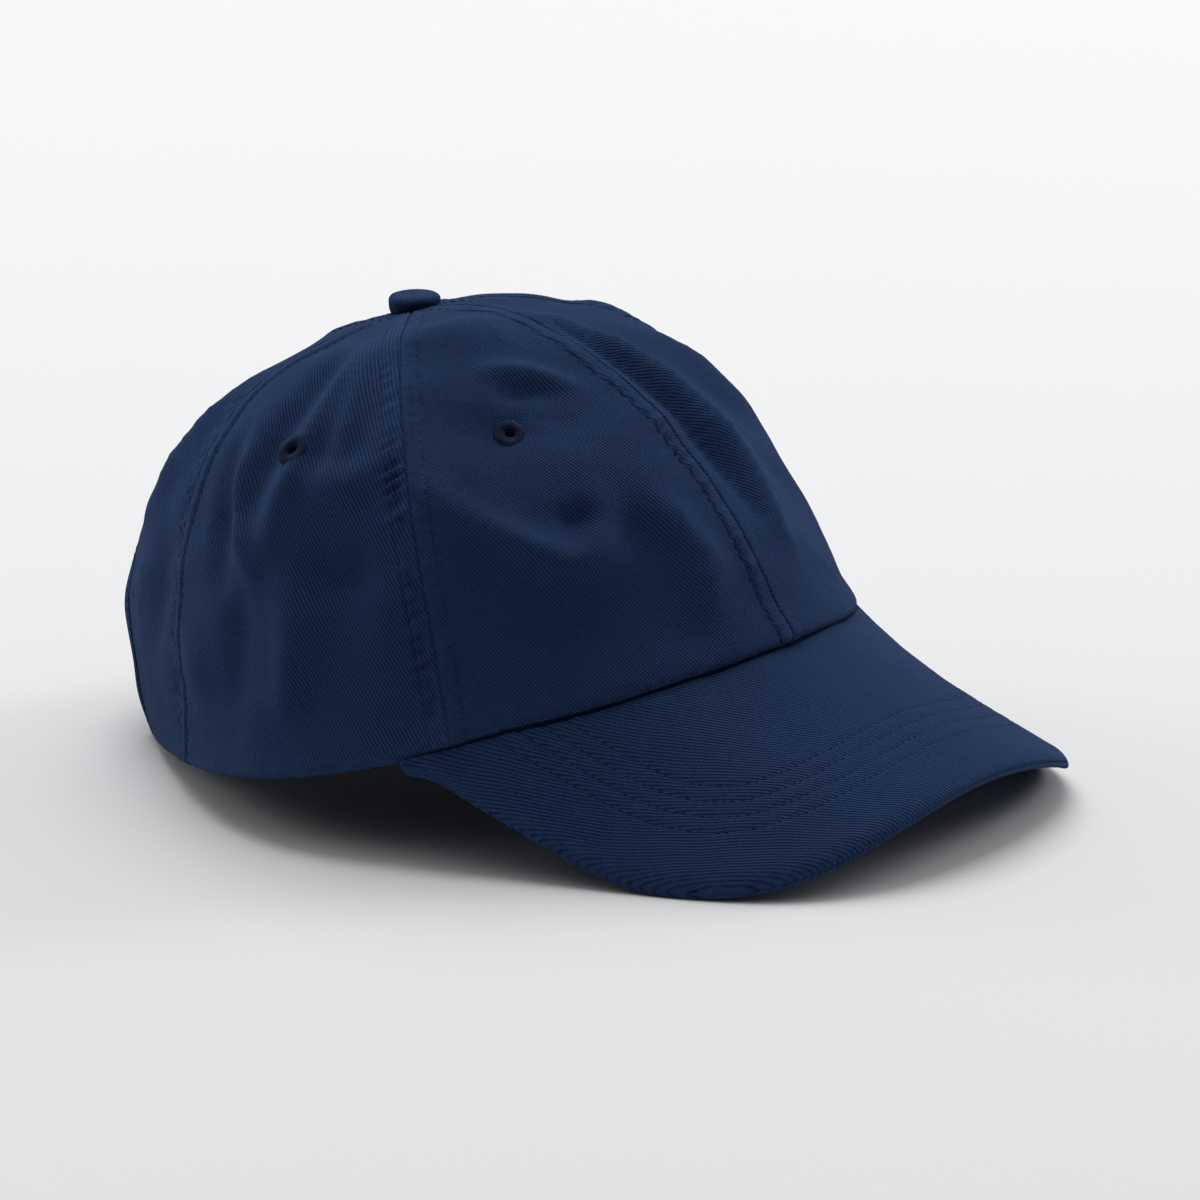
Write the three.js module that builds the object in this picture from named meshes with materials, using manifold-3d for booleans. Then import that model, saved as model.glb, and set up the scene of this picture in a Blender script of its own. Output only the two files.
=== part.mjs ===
// A soft six-panel cotton cap with a pre-curved peak, a covered top button and a rear size strap held by a
// cam clasp. Millimetres, +Z up. The cap rests on its rear hem and the two corners of its peak, the peak
// points along -Y, and the wearer's left is +X. The origin is on the floor under the middle of the whole cap.
//
// Every cloth layer is laid out in the wearer's frame, where the crown is upright: t is the angle round the
// head from the front, growing towards the wearer's left, and s runs from the hem (0) to the apex (1).

import * as THREE from "three";
import { mergeVertices } from "three/addons/utils/BufferGeometryUtils.js";
import Module from "manifold-3d";

const wasm = await Module();
wasm.setup();

// ---------- Driving dimensions: millimetres and degrees ----------

const REST_TILT = 14.2; // how far the front is raised when the cap rests on a table

// Crown: outline of the hem, then the rise of each meridian
const HEM_HALF_WIDTH = 93;
const HEM_FRONT = 98;
const HEM_REAR = 90.8;
const HEM_EGG = -0.039; // third harmonic of the hem outline
const HEM_SQUARE = 0.033; // fourth harmonic
const HEM_SAG = 6.1; // how far the hem dips over the ears
const HEM_ARCH = 2.2; // how far the hem lifts behind the ears
const HEM_ARCH_AT = 107;
const HEM_ARCH_WIDTH = 0.5; // radians
const HEM_FRONT_DROP = 3.2; // how far the front of the hem hangs over the peak
const CROWN_HEIGHT = 96.2;
const APEX_BACK = -0.3; // apex behind the middle of the hem
const CLOTH = 0.9; // doubled twill
const SEAM_GAP = 0.2; // half the gap between two panel edges
const LAYER_GAP = 0.7;

const TAPE_WIDTH = 13;
const TAPE_DEPTH = CLOTH + LAYER_GAP;
const TAPE_CLOTH = 0.4;
const TAPE_BOW = 0.3; // how far a tape's edges drop to follow the curve of the crown
const SWEATBAND_HEIGHT = 32;
const SWEATBAND_DEPTH = 2.6;
const SWEATBAND_REAR_ROOM = 3.6; // extra depth at the back, where the strap runs behind the band
const SWEATBAND_CLOTH = 1.0;

const EYELET_HEIGHT = 0.625; // s of all six eyelets
const EYELET_RADIUS = 4;
const EYELET_HOLE = 1.5;
const EYELET_CUT = 2.7; // radius of the hole in the panel

// Peak: a rolled sheet sloping down from the hem
const PEAK_END = 66.9; // t where the peak's seam ends
const PEAK_ROOT_HEIGHT = -9.6;
const PEAK_SLOPE = 0.595;
const PEAK_ROLL = 136.7; // radius of the sideways curve
const PEAK_DROOP = 16.1; // extra fall of the sides towards the front
const PEAK_WIDEST = 90;
const PEAK_FRONT = 149.2;
const RIM_END_HANDLE = 47.6; // handles of the Bezier curve that draws each half of the rim
const RIM_END_LEAN = 19; // degrees, inwards
const RIM_FRONT_HANDLE = 86.8;
const PEAK_GAP = 0.5;
const PEAK_THICKNESS = 4;
const PEAK_COVER = 0.7;
const PEAK_LAYER_GAP = 0.4;
const PEAK_END_THINNING = 0.65; // share of its thickness that the peak loses at its two ends
const PEAK_END_RISE = 3.4; // how far the rim is drawn up to the hem at the two ends
const RIM_SHOULDER = 4.5; // width of the rim in front of the board
const PEAK_COLUMNS = 26;
const PEAK_ROWS = 7;

const BUTTON_RADIUS = 6.6;
const BUTTON_HEIGHT = 3.4;
const BUTTON_LEAN = 8; // forward of the wearer's vertical
const BUTTON_SEAT = 0.8; // keeps the leaning button clear of the cloth below it
const SHANK_RADIUS = 1.4;
const SHANK_HOLE = 2.2;

// Rear opening and the strap, which follows an arc about an upright axis
const OPENING_HALF_WIDTH = 38;
const OPENING_HEIGHT = 49;
const STRAP_AXIS_Y = 33;
const STRAP_RADIUS = 60.8; // to the outer face
const STRAP_BOTTOM = 5;
const STRAP_WIDTH = 20;
const STRAP_CLOTH = 1;
const STRAP_REACH = [-50, 52]; // degrees from the rear middle, positive towards the wearer's left

const CLASP_ANGLE = 16; // where the clasp sits on the strap's arc
const CLASP_WIDTH = 24;
const CLASP_LENGTH = 17;
const CLASP_WALL = 1.2;
const CLASP_ROOM = 0.4; // between the strap and the metal
const PIN_RADIUS = 0.8;
const LEVER_THICKNESS = 1;

// ---------- Finishes ----------

const navyTwill = { color: 0x1f2f4e, roughness: 0.9, metalness: 0 };
const navyTape = { color: 0x1b2943, roughness: 0.85, metalness: 0 };
const navyThread = { color: 0x22355a, roughness: 0.7, metalness: 0 };
const whiteBoard = { color: 0xe8e6df, roughness: 0.6, metalness: 0 };
const agedBrass = { color: 0x8c7546, roughness: 0.35, metalness: 1 };
const brightSteel = { color: 0xb9bbbd, roughness: 0.3, metalness: 1 };

// ---------- Shape of the crown ----------

const rad = THREE.MathUtils.degToRad;
const smoothstep = THREE.MathUtils.smoothstep;
const apex = new THREE.Vector3(0, APEX_BACK, CROWN_HEIGHT);

function hemPlan(t) {
  const reach = Math.cos(t) > 0 ? HEM_FRONT : HEM_REAR;
  const swell = 1 + HEM_EGG * Math.cos(3 * t) + HEM_SQUARE * Math.cos(4 * t);
  return new THREE.Vector2(HEM_HALF_WIDTH * Math.sin(t) * swell, -reach * Math.cos(t) * swell);
}

function hemHeight(t) {
  const fromArch = (Math.acos(Math.cos(t)) - rad(HEM_ARCH_AT)) / HEM_ARCH_WIDTH;
  const arch = HEM_ARCH * Math.exp(-(fromArch ** 2));
  return arch - HEM_SAG * Math.sin(t) ** 2 - HEM_FRONT_DROP * smoothstep(Math.cos(t), 0.3, 0.9);
}

// A cubic Bezier meridian from the hem to the apex. Its handles vary with the angle round the head.
function crownSurface(t, s) {
  const c = Math.cos(t);
  const c2 = Math.cos(2 * t);
  const rise = 34.8 - 16.1 * c - 3.4 * c2;
  const flare = -0.161 - 0.161 * c + 0.311 * c2;
  const topReach = 82.1 + 4 * c - 8.6 * c2;
  const topDrop = 0.057 - 0.033 * c;
  const plan = hemPlan(t);
  const outward = plan.clone().normalize();
  const hem = new THREE.Vector3(plan.x, plan.y, hemHeight(t));
  const lower = new THREE.Vector3(outward.x * flare, outward.y * flare, 1).multiplyScalar(rise).add(hem);
  const away = new THREE.Vector2(plan.x - apex.x, plan.y - apex.y).normalize();
  const upper = new THREE.Vector3(away.x, away.y, -topDrop).multiplyScalar(topReach).add(apex);
  return new THREE.CubicBezierCurve3(hem, lower, upper, apex).getPoint(s);
}

const STEP = 1e-3;

function crownNormal(t, s) {
  const here = crownSurface(t, s);
  const along = crownSurface(t + STEP, s).sub(here);
  const up = s < 0.5 ? crownSurface(t, s + STEP).sub(here) : here.clone().sub(crownSurface(t, s - STEP));
  return along.cross(up).normalize();
}

// The point a given depth inside the crown's outer face
function crownPoint(t, s, depth) {
  return crownSurface(t, s).addScaledVector(crownNormal(t, s), -depth);
}

// The crown's (t, s) at a given x and z on the back of the crown, by Newton steps
function findOnRear(x, z) {
  let t = Math.PI - x / HEM_REAR;
  let s = 0.05;
  for (let i = 0; i < 20; i++) {
    const p = crownSurface(t, s);
    const dt = crownSurface(t + STEP, s).sub(p).divideScalar(STEP);
    const ds = crownSurface(t, s + STEP).sub(p).divideScalar(STEP);
    const det = dt.x * ds.z - ds.x * dt.z;
    t += ((x - p.x) * ds.z - ds.x * (z - p.z)) / det;
    s += (dt.x * (z - p.z) - (x - p.x) * dt.z) / det;
  }
  return [t, s];
}

// ---------- Solids ----------

// A closed solid between two faces laid over the same grid, each a function of u and v from 0 to 1
function slab(columns, rows, outer, inner) {
  const positions = [];
  for (const face of [outer, inner])
    for (let i = 0; i <= columns; i++)
      for (let j = 0; j <= rows; j++) positions.push(...face(i / columns, j / rows).toArray());
  const at = (side, i, j) => (side * (columns + 1) + i) * (rows + 1) + j;
  const index = [];
  const quad = (a, b, c, d) => index.push(a, b, c, a, c, d);
  for (let i = 0; i < columns; i++)
    for (let j = 0; j < rows; j++) {
      quad(at(0, i, j), at(0, i + 1, j), at(0, i + 1, j + 1), at(0, i, j + 1));
      quad(at(1, i, j), at(1, i, j + 1), at(1, i + 1, j + 1), at(1, i + 1, j));
    }
  for (let i = 0; i < columns; i++) {
    quad(at(1, i, 0), at(1, i + 1, 0), at(0, i + 1, 0), at(0, i, 0));
    quad(at(0, i, rows), at(0, i + 1, rows), at(1, i + 1, rows), at(1, i, rows));
  }
  for (let j = 0; j < rows; j++) {
    quad(at(0, 0, j), at(0, 0, j + 1), at(1, 0, j + 1), at(1, 0, j));
    quad(at(1, columns, j), at(1, columns, j + 1), at(0, columns, j + 1), at(0, columns, j));
  }
  const geometry = new THREE.BufferGeometry();
  geometry.setAttribute("position", new THREE.Float32BufferAttribute(positions, 3));
  geometry.setIndex(index);
  return signedVolume(geometry) < 0 ? turnedInsideOut(geometry) : geometry;
}

function signedVolume(geometry) {
  const p = geometry.getAttribute("position");
  const corner = (k) => new THREE.Vector3().fromBufferAttribute(p, geometry.index.getX(k));
  let volume = 0;
  for (let k = 0; k < geometry.index.count; k += 3)
    volume += corner(k).dot(corner(k + 1).cross(corner(k + 2))) / 6;
  return volume;
}

function turnedInsideOut(geometry) {
  geometry.setIndex([...geometry.index.array].reverse());
  return geometry;
}

function toManifold(geometry) {
  const bare = new THREE.BufferGeometry();
  bare.setAttribute("position", geometry.getAttribute("position"));
  bare.setIndex(geometry.index);
  const merged = mergeVertices(bare, 1e-4);
  return new wasm.Manifold(
    new wasm.Mesh({
      numProp: 3,
      vertProperties: merged.getAttribute("position").array,
      triVerts: new Uint32Array(merged.index.array),
    }),
  );
}

function fromManifold(solid) {
  const mesh = solid.getMesh();
  const geometry = new THREE.BufferGeometry();
  geometry.setAttribute("position", new THREE.BufferAttribute(mesh.vertProperties, 3));
  geometry.setIndex(new THREE.BufferAttribute(mesh.triVerts, 1));
  return geometry;
}

function cut(geometry, ...tools) {
  let solid = toManifold(geometry);
  for (const tool of tools) solid = solid.subtract(toManifold(tool));
  return fromManifold(solid);
}

// A solid of revolution about Z from [radius, height] pairs that run round the section
function turned(section, segments) {
  const profile = [...section, section[0]].map(([r, z]) => new THREE.Vector2(r, z));
  const lathe = new THREE.LatheGeometry(profile, segments);
  lathe.rotateX(Math.PI / 2);
  lathe.deleteAttribute("uv");
  lathe.deleteAttribute("normal");
  const merged = mergeVertices(lathe, 1e-4);
  return signedVolume(merged) < 0 ? turnedInsideOut(merged) : merged;
}

function facing(geometry, position, normal) {
  const turn = new THREE.Quaternion().setFromUnitVectors(new THREE.Vector3(0, 0, 1), normal);
  return geometry.applyQuaternion(turn).translate(position.x, position.y, position.z);
}

function piece(name, geometry, finish) {
  geometry.computeVertexNormals();
  const mesh = new THREE.Mesh(geometry, new THREE.MeshStandardMaterial({ ...finish, name }));
  mesh.name = name;
  return mesh;
}

// ---------- Crown ----------

// The arch-shaped opening at the back, as a bar that runs through the crown along Y
function openingBar(margin) {
  const halfWidth = OPENING_HALF_WIDTH + margin;
  const top = OPENING_HEIGHT + margin;
  const arch = new THREE.Shape();
  arch.moveTo(-halfWidth, -30);
  arch.lineTo(halfWidth, -30);
  arch.lineTo(halfWidth, 6);
  arch.absellipse(0, 6, halfWidth, top - 6, 0, Math.PI, false, 0);
  arch.closePath();
  const bar = new THREE.ExtrudeGeometry(arch, { depth: 90, bevelEnabled: false, curveSegments: 20 });
  return bar.rotateX(Math.PI / 2).translate(0, 130, 0);
}

function eyeletPlace(t) {
  return { position: crownSurface(t, EYELET_HEIGHT), normal: crownNormal(t, EYELET_HEIGHT) };
}

function rod(radius, length, segments = 16) {
  return new THREE.CylinderGeometry(radius, radius, length, segments).rotateX(Math.PI / 2);
}

const PANEL_COLUMNS = 10;
const PANEL_ROWS = 13;
const PANEL_TOP = 1 - SHANK_HOLE / (3 * 80); // s at which the panels stop short of the button's shank

// One sixth of the crown, from its seam at angle `from` to the next seam 60 degrees on
function panel(name, from, eyeletTurn) {
  const face = (depth) => (u, v) => {
    const s = v * PANEL_TOP;
    const middle = crownSurface(from + rad(30), s);
    const inset = SEAM_GAP / Math.hypot(middle.x, middle.y - APEX_BACK);
    return crownPoint(from + inset + u * (rad(60) - 2 * inset), s, depth);
  };
  const cloth = slab(PANEL_COLUMNS, PANEL_ROWS, face(0), face(CLOTH));
  const { position, normal } = eyeletPlace(eyeletTurn);
  const tools = [facing(rod(EYELET_CUT, 8), position, normal)];
  if (name.startsWith("rear")) tools.push(openingBar(0));
  return piece(name, cut(cloth, ...tools), navyTwill);
}

// An embroidered ring, sewn through the panel like a rivet
function eyelet(name, t) {
  const lip = 0.45;
  const back = -CLOTH - lip;
  const ring = turned(
    [
      [EYELET_HOLE, 0.9],
      [EYELET_RADIUS - 1, 1.2],
      [EYELET_RADIUS, lip + 0.1],
      [EYELET_CUT - lip, lip],
      [EYELET_CUT - lip, back],
      [EYELET_RADIUS - 0.8, back - 0.1],
      [EYELET_RADIUS - 1.6, back - 0.7],
      [EYELET_HOLE, back - 0.4],
    ],
    18,
  );
  const { position, normal } = eyeletPlace(t);
  return piece(name, facing(ring, position, normal), navyThread);
}

// A strip of cloth laid along a line of { point, normal, side } stations
function ribbon(stations, width, cloth) {
  const face = (drop) => (u, v) => {
    const { point, normal, side } = stations[Math.round(v * (stations.length - 1))];
    const bow = TAPE_BOW * (2 * u - 1) ** 2;
    return point.clone().addScaledVector(side, (u - 0.5) * width).addScaledVector(normal, -drop - bow);
  };
  return slab(2, stations.length - 1, face(0), face(cloth));
}

function seamStation(t, s) {
  const normal = crownNormal(t, s);
  const up = crownSurface(t, s + STEP).sub(crownSurface(t, s - STEP));
  const side = up.cross(normal).normalize();
  return { point: crownSurface(t, s).addScaledVector(normal, -TAPE_DEPTH), normal, side };
}

function seamTape(name, t, fromS, toS) {
  const stations = [];
  for (let k = 0; k <= PANEL_ROWS; k++)
    stations.push(seamStation(t, THREE.MathUtils.lerp(fromS, toS, k / PANEL_ROWS)));
  return piece(name, ribbon(stations, TAPE_WIDTH, TAPE_CLOTH), navyTape);
}

// The long tape runs up the front seam, over the apex and down the back seam to the opening
function centreTape() {
  const stations = [];
  const rows = 12;
  for (let k = 0; k < rows; k++) stations.push(seamStation(0, 0.005 + (0.965 * k) / rows));
  const top = new THREE.Vector3(0, APEX_BACK, CROWN_HEIGHT - TAPE_DEPTH - 0.1);
  stations.push({ point: top, normal: new THREE.Vector3(0, 0, 1), side: new THREE.Vector3(1, 0, 0) });
  const archTop = findOnRear(0, OPENING_HEIGHT + 10)[1];
  for (let k = 1; k <= rows - 2; k++) {
    const station = seamStation(Math.PI, 0.97 + ((archTop - 0.97) * k) / (rows - 2));
    station.side.negate();
    stations.push(station);
  }
  const strip = ribbon(stations, TAPE_WIDTH, TAPE_CLOTH);
  const hole = rod(SHANK_HOLE, 12).translate(0, APEX_BACK, CROWN_HEIGHT);
  return piece("centre_seam_tape", cut(strip, hole), navyTape);
}

// The band against the head, from one side of the rear opening round the front to the other
function sweatband() {
  const end = rad(180) - 0.475;
  const depthAt = (t) => SWEATBAND_DEPTH + SWEATBAND_REAR_ROOM * smoothstep(-Math.cos(t), 0.45, 0.8);
  const face = (extra) => (u, v) => {
    const t = end * (2 * u - 1);
    const s = THREE.MathUtils.lerp(0.008, heightToS(t, SWEATBAND_HEIGHT), v);
    return crownPoint(t, s, depthAt(t) + extra);
  };
  return piece("sweatband", slab(50, 3, face(0), face(SWEATBAND_CLOTH)), navyTape);
}

// s at a given height above the hem
function heightToS(t, height) {
  let low = 0;
  let high = 1;
  for (let i = 0; i < 30; i++) {
    const middle = (low + high) / 2;
    if (crownSurface(t, middle).z - hemHeight(t) < height) low = middle;
    else high = middle;
  }
  return low;
}

// A tape that binds the inside edge of the rear opening
function openingBinding() {
  const width = 8;
  const edge = 0.6;
  const edgePoint = (angle, margin) => {
    const x = (OPENING_HALF_WIDTH + margin) * Math.cos(angle);
    const z = 6 + (OPENING_HEIGHT - 6 + margin) * Math.sin(angle);
    return findOnRear(x, z);
  };
  const depth = CLOTH + 0.45;
  const face = (extra) => (u, v) => crownPoint(...edgePoint(Math.PI * u, edge + v * width), depth + extra);
  return piece("rear_opening_binding", slab(28, 1, face(0), face(TAPE_CLOTH)), navyTape);
}

// ---------- Button ----------

function buttonParts() {
  const seat = BUTTON_SEAT;
  const top = seat + BUTTON_HEIGHT;
  const skin = 0.7;
  const rim = BUTTON_RADIUS;
  const cover = turned(
    [
      [0, top],
      [rim - 2.2, top - 0.15],
      [rim - 0.6, top - 1.1],
      [rim, top - 2.4],
      [rim - 0.4, seat + 0.8],
      [rim - 1.6, seat],
      [rim - 2.6, seat],
      [rim - 2.6, seat + skin],
      [rim - 1.5, seat + skin + 0.2],
      [rim - 1.1, top - 2.4],
      [rim - 1.6, top - 1.6],
      [rim - 2.8, top - skin - 0.3],
      [0, top - skin - 0.2],
    ],
    28,
  );
  const clear = 0.3;
  const headTop = top - skin - 0.5 - clear;
  const core = turned(
    [
      [0, headTop],
      [rim - 3.3, headTop - 0.1],
      [rim - 1.8, headTop - 0.4],
      [rim - 1.8, seat + skin + clear],
      [SHANK_RADIUS, seat + skin + clear],
      [SHANK_RADIUS, -4.8],
      [0, -4.8],
    ],
    20,
  );
  const washer = turned(
    [
      [SHANK_RADIUS + clear, -4.5],
      [6, -4.5],
      [6, -3.9],
      [SHANK_RADIUS + clear, -3.9],
    ],
    24,
  );
  const group = new THREE.Group();
  group.position.copy(apex);
  group.rotation.x = rad(BUTTON_LEAN);
  group.add(piece("button_cover", cover, navyTwill));
  group.add(piece("button_core", core, brightSteel));
  group.add(piece("button_washer", washer, brightSteel));
  return group;
}

// ---------- Peak ----------

function peakDroop(y) {
  return (PEAK_DROOP / PEAK_WIDEST ** 2) * smoothstep(-y, 40, 100);
}

function peakHeight(x, y) {
  const rolled = PEAK_ROLL - Math.sqrt(PEAK_ROLL ** 2 - x ** 2) + peakDroop(y) * x ** 2;
  return PEAK_ROOT_HEIGHT + PEAK_SLOPE * (y + HEM_FRONT) - rolled;
}

// Vertical reach of one millimetre of thickness
function peakSteepness(x, y) {
  const sideways = x / Math.sqrt(PEAK_ROLL ** 2 - x ** 2) + 2 * peakDroop(y) * x;
  return Math.hypot(1, PEAK_SLOPE, sideways);
}

// The rim's outline from the wearer's left end (u = 0) to the right one, drawn as two mirrored halves
const halfRim = (() => {
  const end = hemPlan(rad(PEAK_END)).add(new THREE.Vector2(2, -1));
  const lean = new THREE.Vector2(-Math.sin(rad(RIM_END_LEAN)), -Math.cos(rad(RIM_END_LEAN)));
  const front = new THREE.Vector2(0, -PEAK_FRONT);
  const lower = end.clone().addScaledVector(lean, RIM_END_HANDLE);
  const upper = new THREE.Vector2(RIM_FRONT_HANDLE, -PEAK_FRONT);
  return new THREE.CubicBezierCurve(end, lower, upper, front);
})();

function peakRim(u) {
  const { x, y } = halfRim.getPointAt(1 - Math.abs(2 * u - 1));
  return new THREE.Vector2(u < 0.5 ? x : -x, y);
}

// A point of the peak: u from its left end to its right end, v from the crown to the rim
function peakPoint(u, v, lift) {
  const t = rad(PEAK_END) * (1 - 2 * u);
  const seam = hemPlan(t);
  const root = seam.clone().addScaledVector(seam.clone().normalize(), PEAK_GAP);
  const plan = root.lerp(peakRim(u), v);
  const fullness = smoothstep(Math.min(u, 1 - u), 0, 0.14);
  const thinned = lift * (1 - PEAK_END_THINNING * (1 - fullness));
  const meetHem = (hemHeight(t) - peakHeight(seam.x, seam.y)) * (1 - v) ** 2;
  const drawnUp = PEAK_END_RISE * (1 - smoothstep(Math.min(u, 1 - u), 0, 0.06)) * v ** 2;
  const height = peakHeight(plan.x, plan.y) + meetHem + drawnUp;
  return new THREE.Vector3(plan.x, plan.y, height + thinned * peakSteepness(plan.x, plan.y));
}

// The rows of the peak stop at the board's edge, then cross the rim in one last row
function peakRow(u, j) {
  if (j === PEAK_ROWS) return 1;
  const depth = peakPoint(u, 0, 0).distanceTo(peakPoint(u, 1, 0));
  return (Math.max(0.5, 1 - RIM_SHOULDER / depth) * j) / (PEAK_ROWS - 1);
}

// A cover spans the whole peak and closes in at the rim, half way towards the other cover
function peakCover(name, high, low) {
  const face = (lift) => (u, v) => {
    const row = Math.round(v * PEAK_ROWS);
    return peakPoint(u, peakRow(u, row), row < PEAK_ROWS ? lift : lift / 2);
  };
  return piece(name, slab(PEAK_COLUMNS, PEAK_ROWS, face(high), face(low)), navyTwill);
}

// The stiffening board stops one column short of each end and one row short of the rim
function peakBoard(half) {
  const columns = PEAK_COLUMNS - 2;
  const rows = PEAK_ROWS - 1;
  const face = (lift) => (u, v) => {
    const along = (1 + u * columns) / PEAK_COLUMNS;
    return peakPoint(along, peakRow(along, Math.round(v * rows)), lift);
  };
  return piece("peak_board", slab(columns, rows, face(half), face(-half)), whiteBoard);
}

function peakParts() {
  const half = PEAK_THICKNESS / 2;
  const group = new THREE.Group();
  group.add(peakCover("peak_top_cover", half, half - PEAK_COVER));
  group.add(peakBoard(half - PEAK_COVER - PEAK_LAYER_GAP));
  group.add(peakCover("peak_under_cover", PEAK_COVER - half, -half));
  return group;
}

// ---------- Strap and clasp ----------

// A point on the strap's arc, `out` millimetres outside its outer face
function strapPoint(degrees, height, out) {
  const radius = STRAP_RADIUS + out;
  const angle = rad(degrees);
  return new THREE.Vector3(radius * Math.sin(angle), STRAP_AXIS_Y + radius * Math.cos(angle), height);
}

function arcStrip(name, [from, to], [bottom, top], out, cloth, columns) {
  const face = (offset) => (u, v) =>
    strapPoint(THREE.MathUtils.lerp(from, to, u), THREE.MathUtils.lerp(bottom, top, v), offset);
  return piece(name, slab(columns, 1, face(out), face(out - cloth)), navyTwill);
}

// A box from its lowest corner to its highest
function block([x0, y0, z0], [x1, y1, z1]) {
  const box = new THREE.BoxGeometry(x1 - x0, y1 - y0, z1 - z0);
  return toManifold(box.translate((x0 + x1) / 2, (y0 + y1) / 2, (z0 + z1) / 2));
}

function pinRod(radius, length, [x, y]) {
  return toManifold(rod(radius, length, 20).translate(x, y, 0));
}

// The clasp is drawn with x along the strap, y outward from the middle of the strap's cloth, and z up
function claspParts() {
  const halfLength = CLASP_LENGTH / 2;
  const halfWidth = CLASP_WIDTH / 2;
  const arcSag = (x) => x ** 2 / (2 * STRAP_RADIUS);
  const strapHalf = STRAP_CLOTH / 2;
  const barrel = PIN_RADIUS + 0.95;
  const pinX = 2.4 - halfLength;
  const pinY = strapHalf - arcSag(pinX) + CLASP_ROOM + barrel;
  const top = pinY + PIN_RADIUS + 0.7;
  const backFace = -strapHalf - arcSag(halfLength) - CLASP_ROOM;
  const back = backFace - CLASP_WALL;
  const barFace = strapHalf - arcSag(halfLength) + CLASP_ROOM;
  const frame = block([-halfLength, back, -halfWidth], [halfLength, backFace, halfWidth])
    .add(block([-halfLength, back, -halfWidth], [halfLength, top, CLASP_WALL - halfWidth]))
    .add(block([-halfLength, back, halfWidth - CLASP_WALL], [halfLength, top, halfWidth]))
    .add(block([halfLength - CLASP_WALL, barFace, -halfWidth], [halfLength, barFace + CLASP_WALL, halfWidth]))
    .subtract(pinRod(PIN_RADIUS + 0.3, CLASP_WIDTH + 4, [pinX, pinY]));
  const leverHalf = halfWidth - CLASP_WALL - CLASP_ROOM;
  const leverTop = pinY + barrel;
  const lever = pinRod(barrel, 2 * leverHalf, [pinX, pinY])
    .add(block([pinX, leverTop - LEVER_THICKNESS, -leverHalf], [halfLength + 1, leverTop, leverHalf]))
    .subtract(pinRod(PIN_RADIUS + 0.3, CLASP_WIDTH + 4, [pinX, pinY]));
  const pin = pinRod(PIN_RADIUS, CLASP_WIDTH - 0.4, [pinX, pinY]);
  const group = new THREE.Group();
  group.add(piece("clasp_frame", fromManifold(frame), agedBrass));
  group.add(piece("clasp_lever", fromManifold(lever), agedBrass));
  group.add(piece("clasp_pin", fromManifold(pin), brightSteel));
  group.position.copy(strapPoint(CLASP_ANGLE, STRAP_BOTTOM + STRAP_WIDTH / 2, -strapHalf));
  group.rotation.z = -rad(CLASP_ANGLE);
  return group;
}

// A short fabric tab that ties the clasp's end bar to the crown beside the opening
function claspTab() {
  const start = CLASP_ANGLE + THREE.MathUtils.radToDeg((CLASP_LENGTH / 2 + 0.4) / STRAP_RADIUS);
  const rise = [STRAP_BOTTOM + 1, STRAP_BOTTOM + STRAP_WIDTH - 1];
  return arcStrip("clasp_tab", [start, 46], rise, 1.1, 0.7, 8);
}

function strap() {
  return arcStrip("size_strap", STRAP_REACH, [STRAP_BOTTOM, STRAP_BOTTOM + STRAP_WIDTH], 0, STRAP_CLOTH, 36);
}

// ---------- The cap ----------

// Each panel's first seam and its eyelet, which is sewn near the panel's middle by eye
const PANELS = [
  ["front_left_panel", 0, 24.5],
  ["side_left_panel", 60, 90],
  ["rear_left_panel", 120, 150],
  ["rear_right_panel", 180, 210],
  ["side_right_panel", 240, 275.5],
  ["front_right_panel", 300, 324],
];

const wearer = new THREE.Group();
for (const [name, from, eyeletTurn] of PANELS) {
  wearer.add(panel(name, rad(from), rad(eyeletTurn)));
  wearer.add(eyelet(name.replace("panel", "eyelet"), rad(eyeletTurn)));
}
wearer.add(centreTape());
for (const [name, t] of [
  ["front_left_seam_tape", 60],
  ["rear_left_seam_tape", 120],
  ["rear_right_seam_tape", 240],
  ["front_right_seam_tape", 300],
])
  wearer.add(seamTape(name, rad(t), 0.005, 0.93));
wearer.add(sweatband(), openingBinding(), buttonParts(), peakParts());
wearer.add(strap(), claspTab(), claspParts());
wearer.rotation.x = -rad(REST_TILT);

const cap = new THREE.Group();
cap.add(wearer);
const box = new THREE.Box3().setFromObject(cap, true);
wearer.position.set(0, -(box.min.y + box.max.y) / 2, -box.min.z);

export default cap;
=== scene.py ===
"""Looks of the baseball cap: cloth, stitching, materials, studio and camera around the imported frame.

Shapes are worked out in millimetres in the wearer's frame, where the crown is upright, and put into the row
frame in metres by to_row(). On the crown, t is the angle round the head from the front, growing towards the
wearer's left (+X), s runs from the hem (0) to the apex (1), and up is the length along a meridian in mm.
"""

import bpy
import numpy as np
from mathutils import Matrix


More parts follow.
